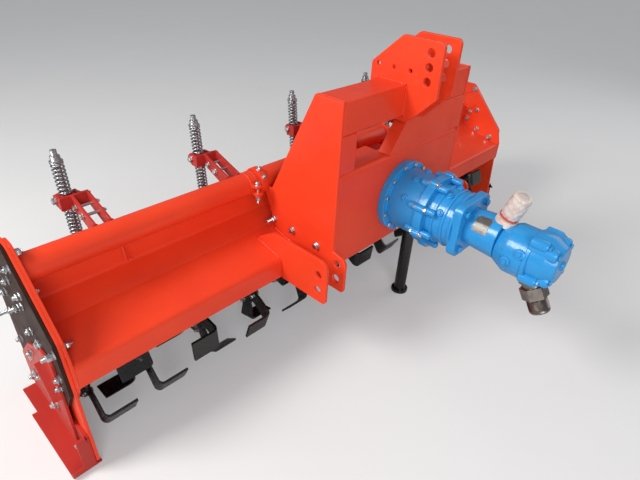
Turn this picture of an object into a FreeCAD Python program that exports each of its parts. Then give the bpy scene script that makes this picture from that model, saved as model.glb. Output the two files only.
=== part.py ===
import FreeCAD, Part
import math
import os

from FreeCAD import Vector

# A tractor-mounted rotavator driven by a hydraulic motor on its front.
# Millimetres. X runs across the machine, Y to the rear, Z up from the ground.
# Y is written from the front face of the headstock box; the finished pieces are moved
# so that the origin lies on the ground under the middle of the machine.

SEAT = 0.3              # gap between pieces that rest on a curved seat

# Width and the main cross tube
WORK_HALF = 1140.0      # middle of the machine to the hood's end plates
END_T = 8.0             # hood's end plates
SIDE_T = 9.0            # side plates, bolted outside the end plates
TUBE_Y = 363.0
TUBE_Z = 590.0
TUBE_R = 40.0
TUBE_WALL = 6.0
TUBE_COLLAR_R = 56.0
TUBE_STUB = 34.0        # reach of the tube beyond the right tower
TUBE_COLLAR_T = 12.0
COLLAR_X = 116.0

# Hood: one folded sheet whose centre line is given from its front lip to the tube,
# with an upstand under the tube
HOOD_T = 6.0
HOOD_BEND_R = 12.0
LIP_Y = 151.0
LIP_BOTTOM_Z = 324.0
LIP_TOP_Z = 396.0
DECK_REAR_Y = 303.0
DECK_REAR_Z = 431.0
UPSTAND_Y = 385.0
UPSTAND_Z = 468.0

# Side plate outline
SIDE_FRONT_Y = 140.0
SIDE_KNEE_Y = 168.0     # where the front edge turns back to the top
SIDE_KNEE_Z = 472.0
SIDE_REAR_Y = 600.0
SIDE_BOTTOM_Z = 16.0
SIDE_TOP_Z = 672.0
SIDE_TOP_FRONT_Y = 356.0
SIDE_TOP_REAR_Y = 430.0
SIDE_REAR_TOP_Z = 430.0
SIDE_CORNER_R = 30.0
END_REAR_Y = 420.0
END_REAR_BOTTOM_Z = 330.0
END_NOTCH_Y = 192.0
END_NOTCH_Z = 241.0

# Rotor
ROTOR_Y = 348.0
ROTOR_Z = 213.0
TIP_R = 200.0
ROTOR_TUBE_R = 45.0
ROTOR_TUBE_WALL = 10.0
STUB_LENGTH = 120.0
FLANGE_R = 96.0
FLANGE_T = 10.0
FLANGE_PITCH = 231.0
FLANGE_COUNT = 9
END_FLANGE_GAP = 34.0   # side plate to the outer face of the end flange
BLADES_PER_FLANGE = 6
PHASE_STEP = 24.0       # turn from one flange's blades to the next
BLADE_T = 8.0
BLADE_REACH = 104.0     # sideways reach of a blade's foot
BLADE_BEND_R = 22.0
BLADE_ROOT_R = 54.0
BLADE_ROOT_HALF = 25.0
SHAFT_R = 25.0
BEARING_GAP = 0.3
BEARING_R = 68.0
BEARING_T = 20.0

# Drive case outside the left side plate, and the bearing plate outside the right one
CASE_T = 10.0
CASE_INSET = 4.0
CASE_REAR_INSET = 30.0
CASE_BOTTOM_Z = 146.0
CASE_NOSE_Z = 300.0     # lower end of the case's front edge
CASE_HEEL_Y = 262.0     # front end of the case's bottom edge
BEARING_PLATE_R = 72.0

# Headstock: box, towers, arm, top-link clevis and lower-link ears
BOX_HALF = 348.0        # middle of the machine to a tower plate's outer face
TOWER_T = 12.0
FRONT_T = 10.0
BOX_BOTTOM_Z = 384.0
BOX_TOP_Z = 729.0
BOX_ROOF_DEPTH = 60.0
TOWER_TOP_Z = 954.0
TOWER_TOP_DEPTH = 110.0
TOWER_BACK_Y = 300.0    # foot of the long slanted rear edge, level with the tube
TOWER_BACK_Z = 577.0
TOWER_HEEL_Y = 299.0    # rear end of the tower's foot on the hood
TOWER_HEEL_Z = 482.0
TOWER_ARM_RISE = 6.0    # top of the tower's short arm to the tube, below the tube's middle
TOWER_ARM_Y = 349.0     # lower end of that arm, at the tube
TOWER_ARM_Z = 552.0
TOWER_FLANGE = 75.0
TOWER_FLANGE_GAP = 1.0   # between a tower's flange and the gusset
ARM_HEIGHT = 102.0
ARM_DEPTH = 110.0
ARM_WALL = 8.0
EAR_GAP = 76.0          # between a tower plate and the outer lower-link ear
EAR_T = 12.0
EAR_NOSE_Y = -57.0
EAR_NOSE_TOP_Z = 450.0  # of the inner ear, in the tower
EAR_ROOT_RISE = 12.0    # from there up to the front panel
EAR_BOTTOM_Z = 320.0
OUTER_EAR_TOP_Z = 482.0
OUTER_EAR_REAR_Y = 190.0
OUTER_EAR_TAIL_Y = 275.0
LINK_HOLE_R = 14.0
LINK_HOLE_Y = -20.0
LINK_HOLE_HIGH_Z = 423.0
LINK_HOLE_LOW_Z = 365.0
EAR_CORNER_R = 14.0
EAR_NOSE_R = 30.0
CLAMP_WIDTH = 24.0
CLAMP_T = 8.0
GUSSET_T = 8.0
GUSSET_LEFT_X = -94.0
GUSSET_TOP_LEFT_X = -4.0
GUSSET_LIP = 40.0

CLEVIS_PITCH = 90.0
CLEVIS_T = 14.0
CLEVIS_FRONT_Y = -110.0
CLEVIS_REAR_Y = 144.0
CLEVIS_RISE = 141.0     # clevis above the towers' top
CLEVIS_DROP = 16.0      # clevis below the arm
CLEVIS_NOSE_DROP = 24.0 # lower end of the clevis's front edge, below the towers' top
CLEVIS_HEEL_Y = -17.0
CLEVIS_SHOULDER_Y = 36.0
CLEVIS_SHOULDER_DROP = 96.0
CLEVIS_CORNER_R = 16.0
CLEVIS_TOP_Z = TOWER_TOP_Z + CLEVIS_RISE
CLEVIS_BOTTOM_Z = TOWER_TOP_Z - ARM_HEIGHT - CLEVIS_DROP
TOP_HOLE_R = 13.0
TOP_HOLE_Y = -68.0
TOP_HOLE_DROP = 35.0    # highest hole below the clevis's top edge
TOP_HOLE_STEP = 42.0
TOP_HOLE_COUNT = 3
TOP_HOLE_Z = CLEVIS_TOP_Z - TOP_HOLE_DROP - (TOP_HOLE_COUNT - 1) * TOP_HOLE_STEP
SMALL_HOLE_R = 7.0
SMALL_HOLE_Z = TOWER_TOP_Z + 42.0
SMALL_HOLE_YS = (-5.0, 56.0, 117.0)

# Hydraulic drive unit on the headstock box. Each *_END is a distance forward from the box.
DRIVE_Z = 556.0
ADAPTER_R = 129.0
ADAPTER_T = 26.0
HOUSING_R = 110.0
HOUSING_END = 140.0
RING_R = 122.0
RING_T = 30.0
RING_LUG_R = 12.0
RING_LUG_COUNT = 8
NECK_R = 100.0
NECK_TAPER = 5.0
NECK_END = 262.0
MOTOR_FLANGE_HALF = 92.0
MOTOR_FLANGE_T = 30.0
MOTOR_FLANGE_CORNER_R = 30.0
MOTOR_R = 62.0
MOTOR_FLARE = 8.0
MOTOR_END = 400.0
BARREL_R = 82.0
BARREL_DROP = 12.0
BARREL_END = 505.0
BARREL_NOSE = 40.0      # length of the barrel's tapered ends
CAP_R = 78.0
CAP_DROP = 4.0
CAP_END = 590.0
CAP_LUG_R = 15.0
BLOCK_END = 597.0
FITTING_Y = -468.0
FITTING_TILT = 32.0     # degrees forward of straight down
FITTING_R = 31.0
FITTING_LENGTH = 205.0
NUT_R = 42.0
NUT_T = 40.0
NUT_BACK = 88.0         # nut's rear face to the fitting's end
PLUG_Y = -370.0
PLUG_TILT = 18.0        # degrees forward of straight up
PLUG_R = 26.0
PLUG_FLANGE_R = 33.0
PLUG_FLANGE_LOW = 70.0
PLUG_FLANGE_T = 22.0
PLUG_LENGTH = 180.0
CASE_NECK_R = 70.0
BEVEL_HALF = 105.0
BEVEL_FRONT_Y = 150.0
BEVEL_DOWN = 85.0
BEVEL_UP = 75.0
BEVEL_LENGTH = 105.0

# Parking leg
LEG_X = 175.0
LEG_Y = 38.0
LEG_R = 24.5
LEG_WALL = 5.0
LEG_TOP_Z = 560.0
FOOT_R = 35.5
FOOT_T = 14.0
SLEEVE_WALL = 3.0
SLEEVE_TOP_Z = 530.0

# Skids
SKID_UNDER = 15.0       # reach of a sole inward of its web
SKID_WIDTH = 83.0
SKID_REAR_WIDTH = 66.0
SKID_STEP_Y = 458.0
SKID_SOLE_T = 8.0
SKID_FRONT_Y = 151.0
SKID_REAR_Y = 582.0
SKID_WEB_TOP_Z = 138.0
SKID_NOSE_Z = 30.0
SKID_TOE_R = 8.0
SKID_FLANGE_WIDTH = 25.0
UPRIGHT_T = 8.0         # slotted plate of the skid, over the case
UPRIGHT_FRONT_Y = 216.0
UPRIGHT_REAR_Y = 535.0
UPRIGHT_BOTTOM_Z = 60.0
UPRIGHT_TOP_Z = 388.0
UPRIGHT_REAR_Z = 200.0  # upper end of its rear edge
UPRIGHT_BROW_Y = 411.0  # where its top edge turns down to the rear
UPRIGHT_BROW_Z = 322.0
UPRIGHT_CORNER_R = 20.0
LIP_LOW = (224.0, 245.0)
LIP_HIGH = (291.0, 346.0)
LIP_T = 8.0
LIP_REACH = 22.0
SLOT_LENGTH = 60.0
SLOT_WIDTH = 14.0
SLOTS = ((302.0, 150.0), (406.0, 205.0))

# Tailboard, its hinge and its lugs
HINGE_Y = 408.0
HINGE_Z = 476.0
HINGE_PIN_R = 8.0
KNUCKLE_R = 13.0
BOARD_T = 5.0
BOARD_BEND_R = 30.0
BOARD_SIDE_GAP = 10.0
BOARD_DROP = 4.0        # leading edge of the board below the hinge
BOARD_KNEE_Y = 446.0
BOARD_KNEE_Z = 458.0
BOARD_SLOPE_Y = 560.0
BOARD_SLOPE_Z = 350.0
BOARD_SKIRT_Y = 640.0
BOARD_SKIRT_Z = 180.0
BOARD_EDGE_Z = 26.0
KNUCKLE_COUNT = 6
KNUCKLE_LENGTH = 120.0
KNUCKLE_GAP = 1.0       # between a knuckle and the bracket beside it
BRACKET_T = 10.0
BRACKET_DROP = 10.0
BRACKET_RISE = 32.0
BRACKET_WALL = 2.0

# Spring rods
ROD_COUNT = 5
ROD_PITCH = 460.0
ROD_SHIFT = -11.0       # middle rod from the middle of the machine
TRUNNION_Y = 543.5
TRUNNION_Z = 650.0
ROD_TILT = 5.0          # degrees from upright, top to the rear
ROD_R = 9.0
ROD_TOP = 147.0         # distances along the rod from the trunnion's pivot
ROD_EYE = 218.0
UPPER_SPRING_TOP = 112.0
LOWER_SPRING_BOTTOM = 152.0
SPRING_R = 19.0
SPRING_WIRE = 6.0
WASHER_R = 19.0
WASHER_T = 4.0
ROD_NUT_R = 14.0
ROD_NUT_T = 14.0
BLOCK_W = 44.0
BLOCK_DEPTH = 38.0
BLOCK_UP = 14.0         # block above and below its pivot
BLOCK_DOWN = 30.0
YOKE_GAP = 2.0          # between the block and the fork's ears
YOKE_T = 8.0
YOKE_EAR = 17.0         # fork's ears above, behind and below the pivot
YOKE_BACK = 8.0         # between the block and the fork's cross plate
YOKE_ARM_XS = (0.0, 46.0)
YOKE_ARM_UP = 20.0      # arms above and below the pivot, at the fork
YOKE_ARM_DOWN = 22.0
YOKE_SEAT_Y = 20.0      # arm's front corner, behind the tube's middle
YOKE_HEEL_Y = 52.0
PIVOT_R = 8.0
PIVOT_GAP = 0.3
EYE_R = 18.0
EYE_HOLE_R = 12.0
EYE_W = 14.0
LUG_GAP = 2.0
LUG_T = 8.0
LUG_PIN_R = 7.0
LUG_FOOT = 34.0         # half the length of a lug's foot on the tailboard

# The origin is midway between the end of the motor and the rear edge of the tailboard
BOARD_EDGE_Y = 657.5
MIDDLE_Y = (BOARD_EDGE_Y - BLOCK_END) / 2.0


def at(y, z, x=0.0):
    """A point from its place in the machine's side view."""
    return Vector(x, y, z)


def box(x0, x1, y0, y1, z0, z1):
    return Part.makeBox(x1 - x0, y1 - y0, z1 - z0, Vector(x0, y0, z0))


def cross_bar(x0, x1, y, z, radius):
    """A round bar along X."""
    return Part.makeCylinder(radius, x1 - x0, Vector(x0, y, z), Vector(1, 0, 0))


def cross_pipe(x0, x1, y, z, radius, bore):
    return cross_bar(x0, x1, y, z, radius).cut(cross_bar(x0, x1, y, z, bore))


def spigot(y0, y1, z, radius, x=0.0, end_radius=None):
    """A round piece along Y, from y0 to y1, tapered where an end radius is given."""
    if end_radius is None:
        return Part.makeCylinder(radius, y1 - y0, Vector(x, y0, z), Vector(0, 1, 0))
    return Part.makeCone(end_radius, radius, y1 - y0, Vector(x, y0, z), Vector(0, 1, 0))


def rounded_outline(points):
    """A closed wire in the side view. Each point is (y, z, corner radius)."""
    count = len(points)
    edges = []
    start_points = []
    corner_arcs = []
    for i in range(count):
        y, z, radius = points[i]
        here = at(y, z)
        before = at(*points[i - 1][:2])
        after = at(*points[(i + 1) % count][:2])
        if radius <= 0:
            start_points.append((here, here))
            corner_arcs.append(None)
            continue
        to_before = (before - here).normalize()
        to_after = (after - here).normalize()
        half_angle = to_before.getAngle(to_after) / 2.0
        setback = radius / math.tan(half_angle)
        bisector = (to_before + to_after).normalize()
        centre = here + bisector * (radius / math.sin(half_angle))
        first = here + to_before * setback
        last = here + to_after * setback
        middle = centre - bisector * radius
        start_points.append((first, last))
        corner_arcs.append(Part.Arc(first, middle, last).toShape())
    for i in range(count):
        if corner_arcs[i] is not None:
            edges.append(corner_arcs[i])
        leave = start_points[i][1]
        arrive = start_points[(i + 1) % count][0]
        if (arrive - leave).Length > 1e-6:
            edges.append(Part.makeLine(leave, arrive))
    return Part.Wire(edges)


def plate(points, x0, x1):
    """A flat plate across X from its side-view outline."""
    solid = Part.Face(rounded_outline(points)).extrude(Vector(x1 - x0, 0, 0))
    solid.translate(Vector(x0, 0, 0))
    return solid


def folded_sheet(path, thickness, inner_radius, x0, x1):
    """A sheet of constant thickness, folded along the side-view path (y, z) of its middle."""
    points = [at(y, z) for y, z in path]
    half = thickness / 2.0
    left, right = [], []
    for i, point in enumerate(points):
        if i == 0:
            way = (points[1] - point).normalize()
            normal = at(-way.z, way.y)
            left.append((point.y + normal.y * half, point.z + normal.z * half, 0.0))
            right.append((point.y - normal.y * half, point.z - normal.z * half, 0.0))
            continue
        came = (point - points[i - 1]).normalize()
        if i == len(points) - 1:
            normal = at(-came.z, came.y)
            left.append((point.y + normal.y * half, point.z + normal.z * half, 0.0))
            right.append((point.y - normal.y * half, point.z - normal.z * half, 0.0))
            continue
        goes = (points[i + 1] - point).normalize()
        normal_in = at(-came.z, came.y)
        normal_out = at(-goes.z, goes.y)
        mitre = (normal_in + normal_out).normalize()
        reach = half / mitre.dot(normal_in)
        turns_left = came.y * goes.z - came.z * goes.y > 0
        left_r = inner_radius if turns_left else inner_radius + thickness
        right_r = inner_radius + thickness if turns_left else inner_radius
        left.append((point.y + mitre.y * reach, point.z + mitre.z * reach, left_r))
        right.append((point.y - mitre.y * reach, point.z - mitre.z * reach, right_r))
    return plate(left + right[::-1], x0, x1)


def mirrored(solid):
    return solid.mirror(Vector(0, 0, 0), Vector(1, 0, 0))


def both_sides(solid):
    return [solid, mirrored(solid)]


def along_rod(distance):
    """A point on the middle rod, measured up from the trunnion."""
    tilt = math.radians(ROD_TILT)
    return at(TRUNNION_Y + distance * math.sin(tilt), TRUNNION_Z + distance * math.cos(tilt))


ROD_WAY = (along_rod(1.0) - along_rod(0.0)).normalize()


def rod_piece(low, high, radius):
    return Part.makeCylinder(radius, high - low, along_rod(low), ROD_WAY)


def rod_places():
    return [ROD_SHIFT + ROD_PITCH * (i - (ROD_COUNT - 1) / 2.0) for i in range(ROD_COUNT)]


def copies(solid, places):
    made = []
    for x in places:
        copy = solid.copy()
        copy.translate(Vector(x, 0, 0))
        made.append(copy)
    return made


def main_tube():
    right = BOX_HALF + TUBE_STUB
    tube = cross_pipe(-WORK_HALF, right, TUBE_Y, TUBE_Z, TUBE_R, TUBE_R - TUBE_WALL)
    return [tube.fuse(cross_bar(right - TUBE_WALL, right, TUBE_Y, TUBE_Z, TUBE_R)).removeSplitter()]


def hood_slot(x0, x1):
    """The upstand of the hood with its seat, for rings that straddle it."""
    half = HOOD_T / 2.0 + SEAT
    return box(x0, x1, UPSTAND_Y - half, UPSTAND_Y + half, TUBE_Z - 2.0 * TUBE_R, TUBE_Z)


def tube_collars():
    """A flanged joint in the tube, seen through the window of the headstock."""
    made = []
    for x in (COLLAR_X, COLLAR_X + TUBE_COLLAR_T):
        ring = cross_pipe(x, x + TUBE_COLLAR_T, TUBE_Y, TUBE_Z, TUBE_COLLAR_R, TUBE_R + SEAT)
        made.append(ring.cut(hood_slot(x, x + TUBE_COLLAR_T)))
    return made


def hood_path():
    return [
        (LIP_Y, LIP_BOTTOM_Z),
        (LIP_Y, LIP_TOP_Z),
        (DECK_REAR_Y, DECK_REAR_Z),
        (UPSTAND_Y, UPSTAND_Z),
        (UPSTAND_Y, TUBE_Z),
    ]


def hood():
    """The folded sheet. It stops under the tube, and at the same height to the tube's right."""
    sheet = folded_sheet(hood_path(), HOOD_T, HOOD_BEND_R, -WORK_HALF, WORK_HALF)
    return [sheet.cut(cross_bar(-WORK_HALF, WORK_HALF, TUBE_Y, TUBE_Z, TUBE_R + SEAT))]


def upper_corner(before, corner, after):
    """Where the upper faces of a folded sheet meet, beside a corner of its middle line."""
    first = math.atan2(corner[1] - before[1], corner[0] - before[0])
    second = math.atan2(after[1] - corner[1], after[0] - corner[0])
    middle = (first + second) / 2.0
    reach = HOOD_T / 2.0 / math.cos((second - first) / 2.0)
    return corner[0] - reach * math.sin(middle), corner[1] + reach * math.cos(middle)


def below_hood(x0, x1):
    """The space that the hood takes up or covers, for plates that stand on it."""
    path = hood_path()
    front = LIP_Y - HOOD_T / 2.0
    corners = [upper_corner(*path[i:i + 3]) for i in range(3)]
    outline = [(front, -10.0, 0), (*corners[0], HOOD_BEND_R + HOOD_T)]
    outline += [(*corners[1], HOOD_BEND_R), (*corners[2], HOOD_BEND_R)]
    outline += [(UPSTAND_Y - HOOD_T / 2.0, TUBE_Z, 0), (SIDE_REAR_Y, TUBE_Z, 0), (SIDE_REAR_Y, -10.0, 0)]
    return plate(outline, x0, x1)


def side_plate():
    """The left side plate, with the bore that the rotor's shaft passes through."""
    inner = -WORK_HALF - END_T
    outline = [
        (SIDE_FRONT_Y, SIDE_BOTTOM_Z, SIDE_CORNER_R),
        (SIDE_KNEE_Y, SIDE_KNEE_Z, SIDE_CORNER_R),
        (SIDE_TOP_FRONT_Y, SIDE_TOP_Z, SIDE_CORNER_R),
        (SIDE_TOP_REAR_Y, SIDE_TOP_Z, SIDE_CORNER_R),
        (SIDE_REAR_Y, SIDE_REAR_TOP_Z, SIDE_CORNER_R),
        (SIDE_REAR_Y, SIDE_BOTTOM_Z, SIDE_CORNER_R),
    ]
    return plate(outline, inner - SIDE_T, inner).cut(shaft_bore(inner - SIDE_T, inner))


def shaft_bore(x0, x1):
    return cross_bar(x0, x1, ROTOR_Y, ROTOR_Z, SHAFT_R + BEARING_GAP)


def hood_end():
    """The left end plate of the hood, between the folded sheet and the side plate."""
    front = LIP_Y - HOOD_T / 2.0
    return plate([
        (front, LIP_BOTTOM_Z, 0),
        (front, LIP_TOP_Z + HOOD_T, HOOD_BEND_R),
        (SIDE_KNEE_Y, SIDE_KNEE_Z, SIDE_CORNER_R),
        (SIDE_TOP_FRONT_Y, SIDE_TOP_Z, SIDE_CORNER_R),
        (END_REAR_Y, SIDE_TOP_Z, SIDE_CORNER_R),
        (END_REAR_Y, END_REAR_BOTTOM_Z, SIDE_CORNER_R),
        (END_NOTCH_Y, END_NOTCH_Z, SIDE_CORNER_R),
    ], -WORK_HALF - END_T, -WORK_HALF)


def drive_case():
    """The closed case of the side drive, bolted to the outside of the left side plate."""
    inner = -WORK_HALF - END_T - SIDE_T
    rear = SIDE_REAR_Y - CASE_REAR_INSET
    lean = (SIDE_KNEE_Y - SIDE_FRONT_Y) / (SIDE_KNEE_Z - SIDE_BOTTOM_Z)
    nose_y = SIDE_FRONT_Y + CASE_INSET + (CASE_NOSE_Z - SIDE_BOTTOM_Z) * lean
    solid = plate([
        (nose_y, CASE_NOSE_Z, SIDE_CORNER_R),
        (SIDE_KNEE_Y + CASE_INSET, SIDE_KNEE_Z, SIDE_CORNER_R),
        (SIDE_TOP_FRONT_Y + CASE_INSET, SIDE_TOP_Z - CASE_INSET, SIDE_CORNER_R),
        (SIDE_TOP_REAR_Y - CASE_REAR_INSET / 2.0, SIDE_TOP_Z - CASE_INSET, SIDE_CORNER_R),
        (rear, SIDE_REAR_TOP_Z, SIDE_CORNER_R),
        (rear, CASE_BOTTOM_Z, SIDE_CORNER_R),
        (CASE_HEEL_Y, CASE_BOTTOM_Z, SIDE_CORNER_R),
    ], inner - CASE_T, inner)
    return [solid.cut(shaft_bore(inner - CASE_T / 2.0, inner))]


def bearing_plate():
    face = WORK_HALF + END_T + SIDE_T
    return [cross_pipe(face, face + CASE_T, ROTOR_Y, ROTOR_Z, BEARING_PLATE_R, SHAFT_R + BEARING_GAP)]


def rotor_bearings():
    face = -WORK_HALF - END_T
    inner = cross_pipe(face, face + BEARING_T, ROTOR_Y, ROTOR_Z, BEARING_R, SHAFT_R + BEARING_GAP)
    return both_sides(inner)


def front_panel():
    """The folded front plate of the headstock box, with its bottom carried back to the lip."""
    middle = FRONT_T / 2.0
    inner = BOX_HALF - TOWER_T
    path = [
        (LIP_Y - HOOD_T / 2.0, BOX_BOTTOM_Z + middle),
        (middle, BOX_BOTTOM_Z + middle),
        (middle, BOX_TOP_Z - middle),
        (BOX_ROOF_DEPTH, BOX_TOP_Z - middle),
    ]
    sheet = folded_sheet(path, FRONT_T, FRONT_T, -inner, inner)
    leg_hole = Part.makeCylinder(LEG_R + SLEEVE_WALL + 1.0, 60, at(LEG_Y, BOX_BOTTOM_Z - 20, LEG_X))
    shaft_hole = spigot(-1.0, FRONT_T + 1.0, DRIVE_Z, CASE_NECK_R + SEAT)
    return [sheet.cut(leg_hole).cut(shaft_hole)]


def bevel_case():
    """The closed right-angle gear case behind the drive unit."""
    rear = BEVEL_FRONT_Y + BEVEL_LENGTH
    body = box(-BEVEL_HALF, BEVEL_HALF, BEVEL_FRONT_Y, rear, DRIVE_Z - BEVEL_DOWN, DRIVE_Z + BEVEL_UP)
    neck = spigot(0.0, BEVEL_FRONT_Y, DRIVE_Z, CASE_NECK_R)
    body = body.fuse(neck).removeSplitter()
    return [body.cut(below_hood(-BEVEL_HALF, BEVEL_HALF))]


def ear_outline():
    return [
        (EAR_NOSE_Y, EAR_BOTTOM_Z, EAR_CORNER_R),
        (EAR_NOSE_Y, OUTER_EAR_TOP_Z, EAR_NOSE_R),
        (OUTER_EAR_REAR_Y, OUTER_EAR_TOP_Z, EAR_NOSE_R),
        (OUTER_EAR_TAIL_Y, DECK_REAR_Z, 0),
        (OUTER_EAR_TAIL_Y, EAR_BOTTOM_Z, 0),
    ]


def link_holes(solid):
    box_x = solid.BoundBox
    for z in (LINK_HOLE_LOW_Z, LINK_HOLE_HIGH_Z):
        solid = solid.cut(cross_bar(box_x.XMin - 1, box_x.XMax + 1, LINK_HOLE_Y, z, LINK_HOLE_R))
    return solid


def tower():
    """The left tower: a side plate with the inner lower-link ear in it, folded to a front flange."""
    outer = -BOX_HALF
    inner = outer + TOWER_T
    outline = [
        (EAR_NOSE_Y, EAR_BOTTOM_Z, EAR_CORNER_R),
        (EAR_NOSE_Y, EAR_NOSE_TOP_Z, EAR_NOSE_R),
        (0.0, EAR_NOSE_TOP_Z + EAR_ROOT_RISE, 0),
        (0.0, TOWER_TOP_Z, 0),
        (TOWER_TOP_DEPTH, TOWER_TOP_Z, 0),
        (TOWER_BACK_Y, TOWER_BACK_Z, 0),
        (TUBE_Y, TUBE_Z - TOWER_ARM_RISE, 0),
        (TUBE_Y, TOWER_ARM_Z, 0),
        (TOWER_ARM_Y, TOWER_ARM_Z, 0),
        (TOWER_HEEL_Y, TOWER_HEEL_Z, 0),
        (TOWER_HEEL_Y, EAR_BOTTOM_Z, 0),
    ]
    cheek = plate(outline, outer, inner)
    cheek = cheek.cut(below_hood(outer, inner))
    cheek = cheek.cut(cross_bar(outer, inner, TUBE_Y, TUBE_Z, TUBE_R + SEAT))
    flange = box(inner, outer + TOWER_FLANGE, 0, TOWER_T, BOX_TOP_Z, TOWER_TOP_Z - ARM_HEIGHT)
    solid = link_holes(cheek).fuse(flange).removeSplitter()
    return solid


def arm():
    inner = BOX_HALF - TOWER_T
    low = TOWER_TOP_Z - ARM_HEIGHT
    outer = box(-inner, inner, 0, ARM_DEPTH, low, TOWER_TOP_Z)
    hollow = box(-inner, inner, ARM_WALL, ARM_DEPTH - ARM_WALL, low + ARM_WALL, TOWER_TOP_Z - ARM_WALL)
    return [outer.cut(hollow)]


def clevis():
    """The two top-link plates, threaded on the arm."""
    made = []
    outline = [
        (CLEVIS_FRONT_Y, CLEVIS_TOP_Z, CLEVIS_CORNER_R),
        (CLEVIS_SHOULDER_Y, CLEVIS_TOP_Z, CLEVIS_CORNER_R),
        (CLEVIS_REAR_Y, CLEVIS_TOP_Z - CLEVIS_SHOULDER_DROP, CLEVIS_CORNER_R),
        (CLEVIS_REAR_Y, CLEVIS_BOTTOM_Z, CLEVIS_CORNER_R),
        (CLEVIS_HEEL_Y, CLEVIS_BOTTOM_Z, CLEVIS_CORNER_R),
        (CLEVIS_FRONT_Y, TOWER_TOP_Z - CLEVIS_NOSE_DROP, CLEVIS_CORNER_R),
    ]
    for side in (-1, 1):
        middle = side * CLEVIS_PITCH / 2.0
        x0 = middle - CLEVIS_T / 2.0
        x1 = middle + CLEVIS_T / 2.0
        solid = plate(outline, x0, x1)
        solid = solid.cut(box(x0, x1, 0, ARM_DEPTH, TOWER_TOP_Z - ARM_HEIGHT, TOWER_TOP_Z))
        for i in range(TOP_HOLE_COUNT):
            solid = solid.cut(cross_bar(x0, x1, TOP_HOLE_Y, TOP_HOLE_Z + i * TOP_HOLE_STEP, TOP_HOLE_R))
        for y in SMALL_HOLE_YS:
            solid = solid.cut(cross_bar(x0, x1, y, SMALL_HOLE_Z, SMALL_HOLE_R))
        made.append(solid)
    return made


def gusset():
    """The front plate on the right of the window, with a lip along its slanted edge."""
    low = BOX_TOP_Z
    high = TOWER_TOP_Z - ARM_HEIGHT
    right = BOX_HALF - TOWER_FLANGE - TOWER_FLANGE_GAP
    corners = [(GUSSET_LEFT_X, low), (GUSSET_TOP_LEFT_X, high), (right, high), (right, low)]
    wire = Part.makePolygon([Vector(x, 0, z) for x, z in corners + corners[:1]])
    face = Part.Face(wire).extrude(Vector(0, GUSSET_T, 0))
    run = GUSSET_TOP_LEFT_X - GUSSET_LEFT_X
    lip = Part.makePolygon([
        Vector(GUSSET_LEFT_X, GUSSET_T, low),
        Vector(GUSSET_LEFT_X + run, GUSSET_T, high),
        Vector(GUSSET_LEFT_X + run + GUSSET_T, GUSSET_T, high),
        Vector(GUSSET_LEFT_X + GUSSET_T, GUSSET_T, low),
        Vector(GUSSET_LEFT_X, GUSSET_T, low),
    ])
    lip = Part.Face(lip).extrude(Vector(0, GUSSET_LIP, 0))
    middle = CLEVIS_PITCH / 2.0
    clevis_slot = box(middle - CLEVIS_T / 2.0, middle + CLEVIS_T / 2.0, 0, GUSSET_T, CLEVIS_BOTTOM_Z, high)
    return [face.fuse(lip).removeSplitter().cut(clevis_slot)]


def outer_ear():
    outer = -BOX_HALF - EAR_GAP - EAR_T
    solid = plate(ear_outline(), outer, outer + EAR_T)
    return link_holes(solid.cut(below_hood(outer, outer + EAR_T)))


def tube_clamp(x0):
    """The ring that stiffens the tube beside a tower, open behind where the hood's upstand is."""
    outer = TUBE_R + CLAMP_T
    x1 = x0 + CLAMP_WIDTH
    ring = cross_pipe(x0, x1, TUBE_Y, TUBE_Z, outer, TUBE_R + SEAT)
    face = UPSTAND_Y - HOOD_T / 2.0 - SEAT
    return ring.cut(box(x0, x1, face, TUBE_Y + outer, TUBE_Z - outer, TUBE_Z))


def drive_adapter():
    flange = spigot(-ADAPTER_T, 0, DRIVE_Z, ADAPTER_R)
    body = spigot(-HOUSING_END, -ADAPTER_T, DRIVE_Z, HOUSING_R)
    return [flange.fuse(body).removeSplitter()]


def reduction_housing():
    """A ring with bolt lugs round it, and a tapered neck in front of it."""
    front = -HOUSING_END - RING_T
    solid = spigot(front, -HOUSING_END, DRIVE_Z, RING_R)
    for i in range(RING_LUG_COUNT):
        angle = 2.0 * math.pi * (i + 0.5) / RING_LUG_COUNT
        x = RING_R * math.sin(angle)
        solid = solid.fuse(spigot(front, -HOUSING_END, DRIVE_Z + RING_R * math.cos(angle), RING_LUG_R, x))
    neck = spigot(-NECK_END, front, DRIVE_Z, NECK_R, end_radius=NECK_R - NECK_TAPER)
    return [solid.fuse(neck).removeSplitter()]


def motor_flange():
    y1 = -NECK_END
    half = MOTOR_FLANGE_HALF
    solid = box(-half, half, y1 - MOTOR_FLANGE_T, y1, DRIVE_Z - half, DRIVE_Z + half)
    edges = [e for e in solid.Edges if abs(e.tangentAt(e.FirstParameter).y) > 0.9]
    return [solid.makeFillet(MOTOR_FLANGE_CORNER_R, edges)]


def motor_body():
    return [spigot(-MOTOR_END, -NECK_END - MOTOR_FLANGE_T, DRIVE_Z, MOTOR_R, end_radius=MOTOR_R + MOTOR_FLARE)]


def motor_barrel():
    """The swollen middle of the motor, set a little below the drive's axis."""
    z = DRIVE_Z - BARREL_DROP
    rear = spigot(-MOTOR_END - BARREL_NOSE, -MOTOR_END, z, MOTOR_R, end_radius=BARREL_R)
    front = spigot(-BARREL_END, -MOTOR_END - BARREL_NOSE, z, BARREL_R)
    return [rear.fuse(front).removeSplitter()]


def motor_cap():
    """The bolted end cap, with a tapered nose and a lug at its tip."""
    z = DRIVE_Z - CAP_DROP
    body = spigot(-CAP_END + BARREL_NOSE, -BARREL_END, z, CAP_R)
    nose = spigot(-CAP_END, -CAP_END + BARREL_NOSE, z, CAP_R, end_radius=CAP_R - BARREL_NOSE / 2.0)
    lug = spigot(-BLOCK_END, -CAP_END, z, CAP_LUG_R)
    return [body.fuse([nose, lug]).removeSplitter()]


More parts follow.
